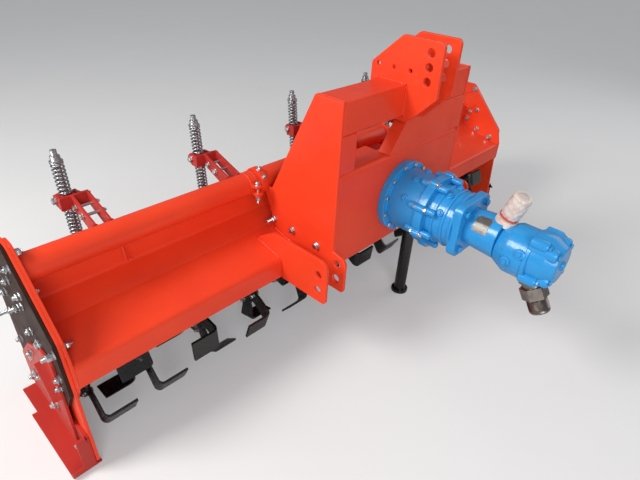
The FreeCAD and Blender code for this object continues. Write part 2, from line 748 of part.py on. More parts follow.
def port_way(tilt, up):
    """The direction of a port that leans forward from straight up (1) or straight down (-1)."""
    lean = math.radians(tilt)
    return Vector(0, -math.sin(lean), up * math.cos(lean))


def port_piece(start, way, low, high, radius):
    return Part.makeCylinder(radius, high - low, start + way * low, way)


def motor_solids():
    return motor_body()[0].fuse([motor_barrel()[0], motor_cap()[0]])


def port_fitting():
    """The steel hose fitting of the lower port: a stub, a hexagon nut and an open end."""
    way = port_way(FITTING_TILT, -1)
    start = at(FITTING_Y, DRIVE_Z - BARREL_DROP)
    body = port_piece(start, way, BARREL_R / 2.0, FITTING_LENGTH, FITTING_R)
    centre = start + way * (FITTING_LENGTH - NUT_BACK)
    across = Vector(1, 0, 0)
    other = way.cross(across)
    corners = []
    for i in range(7):
        angle = math.radians(60.0 * i)
        corners.append(centre + across * (NUT_R * math.cos(angle)) + other * (NUT_R * math.sin(angle)))
    nut = Part.Face(Part.makePolygon(corners)).extrude(way * NUT_T)
    bore = port_piece(start, way, FITTING_LENGTH - NUT_T, FITTING_LENGTH, FITTING_R * 0.6)
    solid = body.fuse(nut).removeSplitter().cut(bore).cut(motor_solids())
    return [min(solid.Solids, key=lambda piece: piece.CenterOfMass.z)]


def port_plug():
    """The plastic plug pressed into the upper port."""
    way = port_way(PLUG_TILT, 1)
    start = at(PLUG_Y, DRIVE_Z - BARREL_DROP)
    body = port_piece(start, way, BARREL_R / 2.0, PLUG_LENGTH, PLUG_R)
    flange = port_piece(start, way, PLUG_FLANGE_LOW, PLUG_FLANGE_LOW + PLUG_FLANGE_T, PLUG_FLANGE_R)
    solid = body.fuse(flange).removeSplitter().cut(motor_solids())
    return [max(solid.Solids, key=lambda piece: piece.Volume)]


def parking_leg():
    bar = Part.makeCylinder(LEG_R, LEG_TOP_Z - FOOT_T, at(LEG_Y, FOOT_T, LEG_X))
    bar = bar.cut(Part.makeCylinder(LEG_R - LEG_WALL, LEG_TOP_Z - FOOT_T, at(LEG_Y, FOOT_T, LEG_X)))
    foot = Part.makeCylinder(FOOT_R, FOOT_T, at(LEG_Y, 0, LEG_X))
    return [bar.fuse(foot).removeSplitter()]


def leg_sleeve():
    outer = LEG_Y - FRONT_T - SEAT
    inner = LEG_R + PIVOT_GAP
    low = BOX_BOTTOM_Z
    pipe = Part.makeCylinder(outer, SLEEVE_TOP_Z - low, at(LEG_Y, low, LEG_X))
    return [pipe.cut(Part.makeCylinder(inner, SLEEVE_TOP_Z - low, at(LEG_Y, low, LEG_X)))]


def skid_upright():
    """The left skid's slotted plate, with a lip that stands out from its front."""
    inner = -WORK_HALF - END_T - SIDE_T - CASE_T
    outer = inner - UPRIGHT_T
    corner = UPRIGHT_CORNER_R
    solid = plate([
        (UPRIGHT_FRONT_Y, UPRIGHT_BOTTOM_Z, corner),
        (UPRIGHT_FRONT_Y, UPRIGHT_TOP_Z, corner),
        (LIP_HIGH[0], UPRIGHT_TOP_Z, corner),
        (UPRIGHT_BROW_Y, UPRIGHT_BROW_Z, corner),
        (UPRIGHT_REAR_Y, UPRIGHT_REAR_Z, corner),
        (UPRIGHT_REAR_Y, UPRIGHT_BOTTOM_Z, corner),
    ], outer, inner)
    low = at(*LIP_LOW)
    high = at(*LIP_HIGH)
    across = (high - low).normalize().cross(Vector(1, 0, 0)) * (LIP_T / 2.0)
    corners = [low + across, high + across, high - across, low - across]
    solid = solid.fuse(plate([(p.y, p.z, 0) for p in corners], outer - LIP_REACH, outer))
    rise = SLOT_LENGTH / 2.0
    wide = SLOT_WIDTH / 2.0
    for y, z in SLOTS:
        ends = [(y - wide, z - rise), (y - wide, z + rise), (y + wide, z + rise), (y + wide, z - rise)]
        solid = solid.cut(plate([(a, b, wide * 0.98) for a, b in ends], outer, inner))
    return solid


def skid():
    """The left skid: a sole turned up at the toe, its web on the side plate, and the slotted plate."""
    web_face = -WORK_HALF - END_T - SIDE_T
    web_outer = web_face - CASE_T
    inner = web_face + SKID_UNDER
    middle = SKID_SOLE_T / 2.0
    path = [(SKID_FRONT_Y + middle, SKID_NOSE_Z), (SKID_FRONT_Y + middle, middle), (SKID_REAR_Y, middle)]
    sole = folded_sheet(path, SKID_SOLE_T, SKID_TOE_R, inner - SKID_WIDTH, inner)
    sole = sole.cut(box(inner - SKID_WIDTH, inner - SKID_REAR_WIDTH, SKID_STEP_Y, SKID_REAR_Y, 0, SKID_SOLE_T))
    sole = sole.cut(box(web_face, inner, SKID_FRONT_Y, SKID_REAR_Y, SIDE_BOTTOM_Z, SKID_NOSE_Z))
    foot = SKID_TOE_R + SKID_SOLE_T
    web = plate([
        (SKID_FRONT_Y + middle, SKID_NOSE_Z, 0),
        (SKID_FRONT_Y, SKID_NOSE_Z, 0),
        (SKID_FRONT_Y, SKID_WEB_TOP_Z, SKID_SOLE_T),
        (SKID_REAR_Y, SKID_WEB_TOP_Z, SKID_SOLE_T),
        (SKID_REAR_Y, middle, 0),
        (SKID_FRONT_Y + foot, middle, 0),
        (SKID_FRONT_Y + middle, foot, 0),
    ], web_outer, web_face)
    flange = box(web_outer - SKID_FLANGE_WIDTH, web_outer, SKID_FRONT_Y,
                 SKID_FRONT_Y + SKID_SOLE_T, SKID_NOSE_Z, SKID_WEB_TOP_Z)
    return sole.fuse([web, flange, skid_upright()]).removeSplitter()


def board_path():
    """The middle line of the tailboard, from its hinge to its lower edge."""
    return [
        (HINGE_Y + KNUCKLE_R - BOARD_T, HINGE_Z - BOARD_DROP),
        (BOARD_KNEE_Y, BOARD_KNEE_Z),
        (BOARD_SLOPE_Y, BOARD_SLOPE_Z),
        (BOARD_SKIRT_Y, BOARD_SKIRT_Z),
        (BOARD_EDGE_Y - BOARD_T / 2.0, BOARD_EDGE_Z),
    ]


def knuckle_places():
    half = WORK_HALF - BOARD_SIDE_GAP - KNUCKLE_LENGTH
    return [-half + 2.0 * half * i / (KNUCKLE_COUNT - 1) for i in range(KNUCKLE_COUNT)]


def tailboard():
    """One folded sheet, seated against its knuckles."""
    half = WORK_HALF - BOARD_SIDE_GAP
    sheet = folded_sheet(board_path(), BOARD_T, BOARD_BEND_R, -half, half)
    return [sheet.cut(cross_bar(-half, half, HINGE_Y, HINGE_Z, KNUCKLE_R))]


def board_knuckles():
    half = KNUCKLE_LENGTH / 2.0
    knuckle = cross_pipe(-half, half, HINGE_Y, HINGE_Z, KNUCKLE_R, HINGE_PIN_R + PIVOT_GAP)
    return copies(knuckle, knuckle_places())


def hinge_pin():
    half = WORK_HALF - BOARD_SIDE_GAP
    return [cross_bar(-half, half, HINGE_Y, HINGE_Z, HINGE_PIN_R)]


def hinge_brackets():
    """Lugs behind the hood that hold the hinge pin at both ends of each knuckle."""
    made = []
    face = UPSTAND_Y + HOOD_T / 2.0
    for place in knuckle_places():
        for side in (-1, 1):
            middle = place + side * (KNUCKLE_LENGTH / 2.0 + KNUCKLE_GAP + BRACKET_T / 2.0)
            x0 = middle - BRACKET_T / 2.0
            rear = HINGE_Y + HINGE_PIN_R + BRACKET_WALL
            lug = plate([
                (face, HINGE_Z - BRACKET_DROP, 0),
                (face, HINGE_Z + BRACKET_RISE, 0),
                (HINGE_Y, HINGE_Z + BRACKET_RISE / 2.0, 0),
                (rear, HINGE_Z + HINGE_PIN_R, BRACKET_WALL),
                (rear, HINGE_Z - BRACKET_DROP, BRACKET_WALL),
            ], x0, x0 + BRACKET_T)
            made.append(lug.cut(cross_bar(x0, x0 + BRACKET_T, HINGE_Y, HINGE_Z, HINGE_PIN_R)))
    return made


def yoke_arms():
    """The forks that hold the trunnions, each on two arms from the tube."""
    inner = BLOCK_W / 2.0 + YOKE_GAP
    outer = inner + YOKE_T
    rear = TRUNNION_Y - BLOCK_DEPTH / 2.0 - YOKE_BACK
    front = rear - YOKE_T
    high = TRUNNION_Z + YOKE_ARM_UP
    low = TRUNNION_Z - YOKE_ARM_DOWN
    pieces = [box(-outer, YOKE_ARM_XS[1] + YOKE_T, front, rear, low, high)]
    ear = [
        (front, low, 0),
        (front, high, 0),
        (TRUNNION_Y + YOKE_EAR, TRUNNION_Z + YOKE_EAR, YOKE_EAR * 0.9),
        (TRUNNION_Y + YOKE_EAR, TRUNNION_Z - YOKE_EAR, YOKE_EAR * 0.9),
    ]
    for x0 in (-outer, inner):
        fork = plate(ear, x0, x0 + YOKE_T)
        pieces.append(fork.cut(cross_bar(x0, x0 + YOKE_T, TRUNNION_Y, TRUNNION_Z, PIVOT_R + PIVOT_GAP)))
    arm_outline = [
        (front, low, 0),
        (TUBE_Y + YOKE_HEEL_Y, TUBE_Z, YOKE_EAR),
        (TUBE_Y, TUBE_Z, 0),
        (TUBE_Y + YOKE_SEAT_Y, TUBE_Z + TUBE_R, 0),
        (front, high, 0),
    ]
    for x0 in YOKE_ARM_XS:
        side = plate(arm_outline, x0, x0 + YOKE_T)
        pieces.append(side.cut(cross_bar(x0, x0 + YOKE_T, TUBE_Y, TUBE_Z, TUBE_R + SEAT)))
    return copies(pieces[0].fuse(pieces[1:]).removeSplitter(), rod_places())


def trunnions():
    half = BLOCK_W / 2.0
    height = BLOCK_UP + BLOCK_DOWN
    block = Part.makeBox(BLOCK_W, BLOCK_DEPTH, height, Vector(-half, -BLOCK_DEPTH / 2.0, -BLOCK_DOWN))
    block.rotate(Vector(0, 0, 0), Vector(1, 0, 0), -ROD_TILT)
    block.translate(at(TRUNNION_Y, TRUNNION_Z))
    reach = half + YOKE_GAP + YOKE_T
    pins = cross_bar(-reach, reach, TRUNNION_Y, TRUNNION_Z, PIVOT_R)
    bore = rod_piece(-height, height, ROD_R + PIVOT_GAP)
    return copies(block.fuse(pins).cut(bore).removeSplitter(), rod_places())


def spring_rods():
    shank = rod_piece(-ROD_EYE + (EYE_R + EYE_HOLE_R) / 2.0, ROD_TOP, ROD_R)
    top = rod_piece(UPPER_SPRING_TOP, UPPER_SPRING_TOP + WASHER_T, WASHER_R)
    nut = rod_piece(UPPER_SPRING_TOP + WASHER_T, UPPER_SPRING_TOP + WASHER_T + ROD_NUT_T, ROD_NUT_R)
    low = rod_piece(-LOWER_SPRING_BOTTOM - WASHER_T, -LOWER_SPRING_BOTTOM, WASHER_R)
    eye_at = along_rod(-ROD_EYE)
    eye = cross_bar(-EYE_W / 2.0, EYE_W / 2.0, eye_at.y, eye_at.z, EYE_R)
    hole = cross_bar(-EYE_W, EYE_W, eye_at.y, eye_at.z, EYE_HOLE_R)
    solid = shank.fuse([top, nut, low, eye]).cut(hole).removeSplitter()
    return copies(solid, rod_places())


def spring_sleeve(low, high):
    solid = rod_piece(low, high, SPRING_R).cut(rod_piece(low, high, SPRING_R - SPRING_WIRE))
    return copies(solid, rod_places())


def upper_springs():
    return spring_sleeve(BLOCK_UP + SEAT, UPPER_SPRING_TOP - SEAT)


def lower_springs():
    return spring_sleeve(-LOWER_SPRING_BOTTOM + SEAT, -BLOCK_DOWN - SEAT)


def board_lugs():
    """The pairs of lugs that hold each rod's eye on the tailboard."""
    eye_at = along_rod(-ROD_EYE)
    made = []
    outline = [
        (eye_at.y - LUG_FOOT, BOARD_SLOPE_Z, 0),
        (eye_at.y - EYE_R, eye_at.z + EYE_R, EYE_R * 0.9),
        (eye_at.y + EYE_R, eye_at.z + EYE_R, EYE_R * 0.9),
        (eye_at.y + LUG_FOOT, BOARD_SLOPE_Z, 0),
    ]
    reach = EYE_W / 2.0 + LUG_GAP + LUG_T
    sheet = folded_sheet(board_path(), BOARD_T, BOARD_BEND_R, -reach, reach)
    under = sheet.copy()
    under.translate(Vector(0, 0, -BOARD_SLOPE_Z / 8.0))
    for side in (-1, 1):
        middle = side * (EYE_W / 2.0 + LUG_GAP + LUG_T / 2.0)
        lug = plate(outline, middle - LUG_T / 2.0, middle + LUG_T / 2.0).cut(sheet).cut(under)
        made.append(max(lug.Solids, key=lambda piece: piece.CenterOfMass.z))
    pin = cross_bar(-reach, reach, eye_at.y, eye_at.z, LUG_PIN_R)
    solid = made[0].fuse([made[1], pin]).removeSplitter()
    return copies(solid, rod_places())


def flange_places():
    return [FLANGE_PITCH * (i - (FLANGE_COUNT - 1) / 2.0) for i in range(FLANGE_COUNT)]


def end_flange_x():
    return WORK_HALF - END_FLANGE_GAP - FLANGE_T / 2.0


def rotor_tube():
    half = end_flange_x() + FLANGE_T / 2.0
    tube = cross_bar(-half, half, ROTOR_Y, ROTOR_Z, ROTOR_TUBE_R)
    bore = cross_bar(-half + STUB_LENGTH, half - STUB_LENGTH, ROTOR_Y, ROTOR_Z, ROTOR_TUBE_R - ROTOR_TUBE_WALL)
    side_face = WORK_HALF + END_T + SIDE_T
    left_end = -side_face - CASE_T / 2.0 + BEARING_GAP
    shaft = cross_bar(left_end, side_face + CASE_T, ROTOR_Y, ROTOR_Z, SHAFT_R)
    return [tube.fuse(shaft).cut(bore).removeSplitter()]


def rotor_flanges():
    ring = cross_pipe(-FLANGE_T / 2.0, FLANGE_T / 2.0, ROTOR_Y, ROTOR_Z, FLANGE_R, ROTOR_TUBE_R)
    return copies(ring, flange_places() + [-end_flange_x(), end_flange_x()])


def blade():
    """One blade pointing up: a shank with a foot folded to +X, cut to a curved outline."""
    top = ROTOR_Z + TIP_R - 10.0
    start = FLANGE_T / 2.0
    bar = Part.makeBox(BLADE_T, 160, top - ROTOR_Z - BLADE_ROOT_R,
                       Vector(start, ROTOR_Y - 80, ROTOR_Z + BLADE_ROOT_R))
    foot = Part.makeBox(BLADE_REACH, 160, BLADE_T, Vector(start, ROTOR_Y - 80, top - BLADE_T))
    body = bar.fuse(foot).removeSplitter()
    bend_out = [e for e in body.Edges if e.BoundBox.XMax < start + 0.1 and abs(e.BoundBox.ZMin - top) < 0.1
                and abs(e.BoundBox.ZMax - top) < 0.1 and e.Length > 100]
    bend_in = [e for e in body.Edges if abs(e.BoundBox.XMax - start - BLADE_T) < 0.1
               and abs(e.BoundBox.XMin - start - BLADE_T) < 0.1
               and abs(e.BoundBox.ZMax - top + BLADE_T) < 0.1 and abs(e.BoundBox.ZMin - top + BLADE_T) < 0.1]
    body = body.makeFillet(BLADE_BEND_R, bend_out)
    inner = [e for e in body.Edges if abs(e.BoundBox.XMax - start - BLADE_T) < 0.1
             and abs(e.BoundBox.XMin - start - BLADE_T) < 0.1
             and abs(e.BoundBox.ZMax - top + BLADE_T) < 0.1 and abs(e.BoundBox.ZMin - top + BLADE_T) < 0.1]
    body = body.makeFillet(BLADE_BEND_R - BLADE_T, inner)
    half = BLADE_ROOT_HALF
    outline = [
        (ROTOR_Y - half, ROTOR_Z + BLADE_ROOT_R, 6.0),
        (ROTOR_Y - half, ROTOR_Z + 112.0, 90.0),
        (ROTOR_Y - 66.0, ROTOR_Z + TIP_R, 0),
        (ROTOR_Y + 4.0, ROTOR_Z + TIP_R, 0),
        (ROTOR_Y + half, ROTOR_Z + 122.0, 90.0),
        (ROTOR_Y + half, ROTOR_Z + BLADE_ROOT_R, 6.0),
    ]
    side_view = plate(outline, 0, BLADE_REACH + 20.0)
    round_tip = cross_bar(0, BLADE_REACH + 20.0, ROTOR_Y, ROTOR_Z, TIP_R)
    return body.common(side_view).common(round_tip)


def turned(solid, angle, x):
    copy = solid.copy()
    copy.rotate(at(ROTOR_Y, ROTOR_Z), Vector(1, 0, 0), angle)
    copy.translate(Vector(x, 0, 0))
    return copy


def rotor_blades():
    right_hand = blade()
    left_hand = mirrored(right_hand)
    step = 360.0 / BLADES_PER_FLANGE
    made = []
    for number, x in enumerate(flange_places()):
        for i in range(BLADES_PER_FLANGE):
            hand = right_hand if i % 2 == 0 else left_hand
            made.append(turned(hand, i * step + number * PHASE_STEP, x))
    right_start = (FLANGE_COUNT - 1) * PHASE_STEP + step
    for side, hand, start in ((-1, right_hand, 0.0), (1, left_hand, right_start)):
        for i in range(BLADES_PER_FLANGE // 2):
            made.append(turned(hand, i * 2.0 * step + start, side * end_flange_x()))
    return made


def export(name, solids):
    """Write one node, moved into the machine's own frame."""
    moved = []
    for solid in solids:
        copy = solid.copy()
        copy.translate(Vector(0, -MIDDLE_Y, 0))
        moved.append(copy)
    shape = moved[0] if len(moved) == 1 else Part.makeCompound(moved)
    shape.exportStep("parts/" + name + ".step")
    print(name, len(moved), shape.isValid(), [round(v) for v in (
        shape.BoundBox.XMin, shape.BoundBox.XMax, shape.BoundBox.YMin, shape.BoundBox.YMax,
        shape.BoundBox.ZMin, shape.BoundBox.ZMax)], round(shape.Volume / 1e6, 3))


os.makedirs("parts", exist_ok=True)

NODES = [
    ("main_tube", main_tube()),
    ("tube_collars", tube_collars()),
    ("hood", hood()),
    ("hood_ends", both_sides(hood_end())),
    ("side_plate_left", [side_plate()]),
    ("side_plate_right", [mirrored(side_plate())]),
    ("drive_case", drive_case()),
    ("bearing_plate", bearing_plate()),
    ("rotor_bearings", rotor_bearings()),
    ("front_panel", front_panel()),
    ("bevel_case", bevel_case()),
    ("tower_left", [tower()]),
    ("tower_right", [mirrored(tower())]),
    ("arm", arm()),
    ("clevis", clevis()),
    ("gusset", gusset()),
    ("outer_ears", both_sides(outer_ear())),
    ("tube_clamps", [tube_clamp(-BOX_HALF - CLAMP_WIDTH), tube_clamp(BOX_HALF)]),
    ("drive_adapter", drive_adapter()),
    ("reduction_housing", reduction_housing()),
    ("motor_flange", motor_flange()),
    ("motor_body", motor_body()),
    ("motor_barrel", motor_barrel()),
    ("motor_cap", motor_cap()),
    ("port_fitting", port_fitting()),
    ("port_plug", port_plug()),
    ("leg_sleeve", leg_sleeve()),
    ("parking_leg", parking_leg()),
    ("skid_left", [skid()]),
    ("skid_right", [mirrored(skid())]),
    ("hinge_pin", hinge_pin()),
    ("hinge_brackets", hinge_brackets()),
    ("tailboard", tailboard()),
    ("board_knuckles", board_knuckles()),
    ("board_lugs", board_lugs()),
    ("yoke_arms", yoke_arms()),
    ("trunnions", trunnions()),
    ("spring_rods", spring_rods()),
    ("upper_springs", upper_springs()),
    ("lower_springs", lower_springs()),
    ("rotor_tube", rotor_tube()),
    ("rotor_flanges", rotor_flanges()),
    ("rotor_blades", rotor_blades()),
]

for node_name, node_solids in NODES:
    export(node_name, node_solids)
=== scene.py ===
import math

import bmesh
import bpy
from mathutils import Matrix, Vector


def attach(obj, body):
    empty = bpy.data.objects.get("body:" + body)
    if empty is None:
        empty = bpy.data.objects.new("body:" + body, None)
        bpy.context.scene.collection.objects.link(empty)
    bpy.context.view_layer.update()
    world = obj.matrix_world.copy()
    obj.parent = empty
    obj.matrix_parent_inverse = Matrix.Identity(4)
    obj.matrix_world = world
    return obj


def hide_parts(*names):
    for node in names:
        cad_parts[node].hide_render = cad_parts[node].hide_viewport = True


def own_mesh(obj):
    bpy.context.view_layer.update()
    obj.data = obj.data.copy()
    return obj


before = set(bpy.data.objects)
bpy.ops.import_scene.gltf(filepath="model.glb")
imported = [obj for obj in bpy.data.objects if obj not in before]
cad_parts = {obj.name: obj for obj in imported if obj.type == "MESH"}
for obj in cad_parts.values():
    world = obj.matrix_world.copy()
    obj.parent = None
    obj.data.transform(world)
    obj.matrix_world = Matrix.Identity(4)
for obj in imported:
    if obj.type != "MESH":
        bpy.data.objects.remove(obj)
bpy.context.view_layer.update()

# Bolts, springs, welds and finishes of the rotavator. Places and sizes of pieces are in
# millimetres, with Y from the front face of the headstock box, as in the part's source.
# Edge widths, textures, camera and lights are in metres.

MIDDLE_Y = 30.25                    # from the headstock box's front face to the frame's origin
ROTOR_Y, ROTOR_Z = 348.0, 213.0
DRIVE_Z = 556.0                     # axis of the drive unit's adapter, gear and flange
MOTOR_Z = DRIVE_Z - 12.0            # axis of the motor's barrel
CAP_Z = DRIVE_Z - 4.0               # centre of the lugs on the end cap
TUBE_Y, TUBE_Z, TUBE_R = 363.0, 590.0, 40.0
PIVOT_Y, PIVOT_Z = 543.5, 650.0     # trunnions of the spring rods
ROD_TILT = math.radians(5.0)
ROD_PITCH, ROD_SHIFT = 460.0, -11.0
ROD_XS = [ROD_PITCH * i + ROD_SHIFT for i in range(-2, 3)]
END_INNER = 1140.0                  # inner faces of the hood's end plates
CASE_OUTER = 1167.0                 # outer faces of the drive case and of the skids' webs
UPRIGHT_OUTER = 1175.0              # outer faces of the skids' uprights
TOWER_OUTER = 348.0
CLAMP_MIDDLE = 360.0                # rings on the tube beside the towers
HINGE_Y, HINGE_Z = 408.0, 476.0

X_AXIS, Y_AXIS, Z_AXIS = Vector((1, 0, 0)), Vector((0, 1, 0)), Vector((0, 0, 1))
SIDES = (-1.0, 1.0)


def place(x, y, z):
    """A point in metres in the part's own frame."""
    return Vector((x, y - MIDDLE_Y, z)) / 1000.0


def along_rod(x, distance):
    """A point on a spring rod, at a distance above its trunnion."""
    return place(x, PIVOT_Y + distance * math.sin(ROD_TILT), PIVOT_Z + distance * math.cos(ROD_TILT))


def outward(side):
    """The direction out of the left side (-1) or the right side (1)."""
    return Vector((side, 0, 0))


def spoke(radius, y, z, angle):
    """A point round an axis along Y at height z, at an angle from straight up towards +X."""
    return place(radius * math.sin(angle), y, z + radius * math.cos(angle))


def spoke_way(angle):
    return Vector((math.sin(angle), 0, math.cos(angle)))


def ring_angles(count, shift=0.0):
    """Even steps round a circle, half a step off the vertical."""
    return [math.tau * (i + 0.5) / count + shift for i in range(count)]


def linked(name, data):
    """An object in the scene for a mesh, a camera or a lamp."""
    obj = bpy.data.objects.new(name, data)
    bpy.context.scene.collection.objects.link(obj)
    return obj


# Materials

PEEL = 0.12                         # strength of the enamel's fine texture
DUST = (0.42, 0.36, 0.30)
GRIME = (0.10, 0.08, 0.06)
WAVE_UNIT = math.tau / 20.0         # a wave texture of this scale repeats once a metre


def tree(name):
    mat = bpy.data.materials.new(name)
    mat.use_nodes = True
    nodes = mat.node_tree.nodes
    return mat, nodes, mat.node_tree.links, nodes["Principled BSDF"]


def noise(nodes, links, coords, scale, detail=3.0, rough=0.5):
    tex = nodes.new("ShaderNodeTexNoise")
    tex.inputs["Scale"].default_value = scale
    tex.inputs["Detail"].default_value = detail
    tex.inputs["Roughness"].default_value = rough
    links.new(coords.outputs["Object"], tex.inputs["Vector"])
    return tex.outputs["Fac"]


def ramp(nodes, links, source, start, end):
    """Maps a factor to grey between two stops, each (factor, grey value)."""
    node = nodes.new("ShaderNodeValToRGB")
    for element, (where, value) in zip(node.color_ramp.elements, (start, end)):
        element.position = where
        element.color = (value, value, value, 1.0)
    links.new(source, node.inputs["Fac"])
    return node.outputs["Color"]


def mix(nodes, links, factor, first, second):
    """Blends two colours, each a tuple or another node's output."""
    node = nodes.new("ShaderNodeMix")
    node.data_type = "RGBA"
    links.new(factor, node.inputs["Factor"])
    for socket, value in (("A", first), ("B", second)):
        target = [s for s in node.inputs if s.name == socket and s.type == "RGBA"][0]
        if isinstance(value, tuple):
            target.default_value = (*value, 1.0)
        else:
            links.new(value, target)
    return [s for s in node.outputs if s.type == "RGBA"][0]


def bump(nodes, links, layers):
    """Stacks bump layers given as (height, strength, distance in metres)."""
    last = None
    for height, strength, distance in layers:
        node = nodes.new("ShaderNodeBump")
        node.inputs["Strength"].default_value = strength
        node.inputs["Distance"].default_value = distance
        links.new(height, node.inputs["Height"])
        if last is not None:
            links.new(last, node.inputs["Normal"])
        last = node.outputs["Normal"]
    return last


def paint(name, colour, deep, rough, coat=0.06, cast=0.0, dust_amount=0.06, shine=0.28):
    """Enamel: slow colour drift, a peel texture, soft cast skin and a little dust."""
    mat, nodes, links, shader = tree(name)
    coords = nodes.new("ShaderNodeTexCoord")
    drift = noise(nodes, links, coords, 3.1, 4.0)
    tone = mix(nodes, links, ramp(nodes, links, drift, (0.32, 0.0), (0.68, 1.0)), deep, colour)
    specks = noise(nodes, links, coords, 46.0, 6.0, 0.7)
    dusty = ramp(nodes, links, specks, (0.56, 0.0), (0.80, dust_amount))
    links.new(mix(nodes, links, dusty, tone, DUST), shader.inputs["Base Color"])
    gloss = noise(nodes, links, coords, 17.0, 4.0, 0.6)
    links.new(ramp(nodes, links, gloss, (0.30, rough - 0.06), (0.72, rough + 0.10)),
              shader.inputs["Roughness"])
    shader.inputs["Coat Weight"].default_value = coat
    shader.inputs["Coat Roughness"].default_value = 0.12
    shader.inputs["Specular IOR Level"].default_value = shine
    layers = [(noise(nodes, links, coords, 260.0, 2.0), PEEL, 0.0006)]
    if cast:
        layers.append((noise(nodes, links, coords, 75.0, 5.0, 0.65), cast, 0.0022))
    links.new(bump(nodes, links, layers), shader.inputs["Normal"])
    return mat


def metal(name, colour, second, rough, thread=0.0, grime=0.25):
    """Plated or bare steel with stains and fine scratches; thread is a pitch in metres."""
    mat, nodes, links, shader = tree(name)
    coords = nodes.new("ShaderNodeTexCoord")
    stain = noise(nodes, links, coords, 60.0, 5.0, 0.65)
    tone = mix(nodes, links, ramp(nodes, links, stain, (0.35, 0.0), (0.70, 1.0)), colour, second)
    dirt = noise(nodes, links, coords, 19.0, 6.0, 0.7)
    soiled = ramp(nodes, links, dirt, (0.52, 0.0), (0.85, grime))
    links.new(mix(nodes, links, soiled, tone, GRIME), shader.inputs["Base Color"])
    shader.inputs["Metallic"].default_value = 1.0
    scratch = noise(nodes, links, coords, 420.0, 3.0, 0.6)
    links.new(ramp(nodes, links, scratch, (0.30, rough - 0.08), (0.75, rough + 0.14)),
              shader.inputs["Roughness"])
    layers = [(scratch, 0.12, 0.0004)]
    if thread:
        wave = nodes.new("ShaderNodeTexWave")
        wave.bands_direction = "Z"
        wave.inputs["Scale"].default_value = WAVE_UNIT / thread
        wave.inputs["Distortion"].default_value = 0.0
        links.new(coords.outputs["Object"], wave.inputs["Vector"])
        layers.append((wave.outputs["Fac"], 0.7, 0.0012))
    links.new(bump(nodes, links, layers), shader.inputs["Normal"])
    return mat


def black_paint(name, bare_low, bare_high):
    """Dip paint over forged steel, rubbed through to bright metal in places."""
    mat, nodes, links, shader = tree(name)
    coords = nodes.new("ShaderNodeTexCoord")
    blotch = noise(nodes, links, coords, 22.0, 7.0, 0.72)
    bare = ramp(nodes, links, blotch, (bare_low, 0.0), (bare_high, 1.0))
    drift = noise(nodes, links, coords, 8.0, 3.0)
    dark = mix(nodes, links, drift, (0.004, 0.004, 0.005), (0.014, 0.013, 0.013))
    links.new(mix(nodes, links, bare, dark, (0.32, 0.30, 0.28)), shader.inputs["Base Color"])
    links.new(ramp(nodes, links, blotch, (bare_low, 0.0), (bare_high, 0.85)), shader.inputs["Metallic"])
    fine = noise(nodes, links, coords, 150.0, 4.0, 0.6)
    links.new(ramp(nodes, links, fine, (0.3, 0.18), (0.75, 0.38)), shader.inputs["Roughness"])
    shader.inputs["Specular IOR Level"].default_value = 0.45
    shader.inputs["Coat Weight"].default_value = 0.4
    shader.inputs["Coat Roughness"].default_value = 0.14
    links.new(bump(nodes, links, [(fine, 0.2, 0.0006), (blotch, 0.25, 0.0015)]), shader.inputs["Normal"])
    return mat


def plastic(name, colour, stain_colour):
    """Soft plastic or film with stains."""
    mat, nodes, links, shader = tree(name)
    coords = nodes.new("ShaderNodeTexCoord")
    stain = noise(nodes, links, coords, 26.0, 5.0, 0.6)
    stained = ramp(nodes, links, stain, (0.42, 0.0), (0.72, 1.0))
    links.new(mix(nodes, links, stained, colour, stain_colour), shader.inputs["Base Color"])
    fine = noise(nodes, links, coords, 320.0, 2.0)
    links.new(ramp(nodes, links, fine, (0.3, 0.36), (0.7, 0.52)), shader.inputs["Roughness"])
    shader.inputs["Subsurface Weight"].default_value = 0.15
    shader.inputs["Subsurface Radius"].default_value = (0.004, 0.003, 0.002)
    links.new(bump(nodes, links, [(fine, 0.12, 0.0005)]), shader.inputs["Normal"])
    return mat


ORANGE = paint("orange_enamel", (0.86, 0.060, 0.018), (0.76, 0.046, 0.014), 0.36)
SKID_RED = paint("skid_enamel", (0.50, 0.031, 0.021), (0.41, 0.025, 0.018), 0.40)
RED = paint("red_enamel", (0.50, 0.030, 0.022), (0.40, 0.022, 0.018), 0.42)
BROWN = paint("case_enamel", (0.046, 0.016, 0.011), (0.024, 0.010, 0.007), 0.50,
              coat=0.0, dust_amount=0.03, shine=0.12)
BLUE = paint("blue_enamel", (0.024, 0.300, 0.680), (0.018, 0.245, 0.600), 0.30,
             coat=0.4, cast=0.35, dust_amount=0.04)
BLACK = black_paint("black_dip", 0.62, 0.74)
LEG_BLACK = black_paint("leg_black", 0.72, 0.84)
ZINC = metal("zinc_plate", (0.66, 0.67, 0.69), (0.52, 0.53, 0.54), 0.30)
THREAD = metal("zinc_thread", (0.56, 0.57, 0.59), (0.42, 0.43, 0.44), 0.34, thread=0.0018)
SPRING = metal("spring_zinc", (0.46, 0.47, 0.49), (0.32, 0.33, 0.35), 0.28)
STEEL = metal("fitting_steel", (0.34, 0.30, 0.27), (0.20, 0.17, 0.15), 0.32, grime=0.5)
PLATE = metal("blank_plate", (0.60, 0.58, 0.54), (0.46, 0.44, 0.41), 0.52)
CREAM = plastic("cap_plastic", (0.80, 0.72, 0.62), (0.62, 0.44, 0.36))
FILM = plastic("plug_film", (0.68, 0.64, 0.60), (0.52, 0.36, 0.32))
BAND = plastic("plug_band", (0.60, 0.10, 0.07), (0.45, 0.06, 0.05))

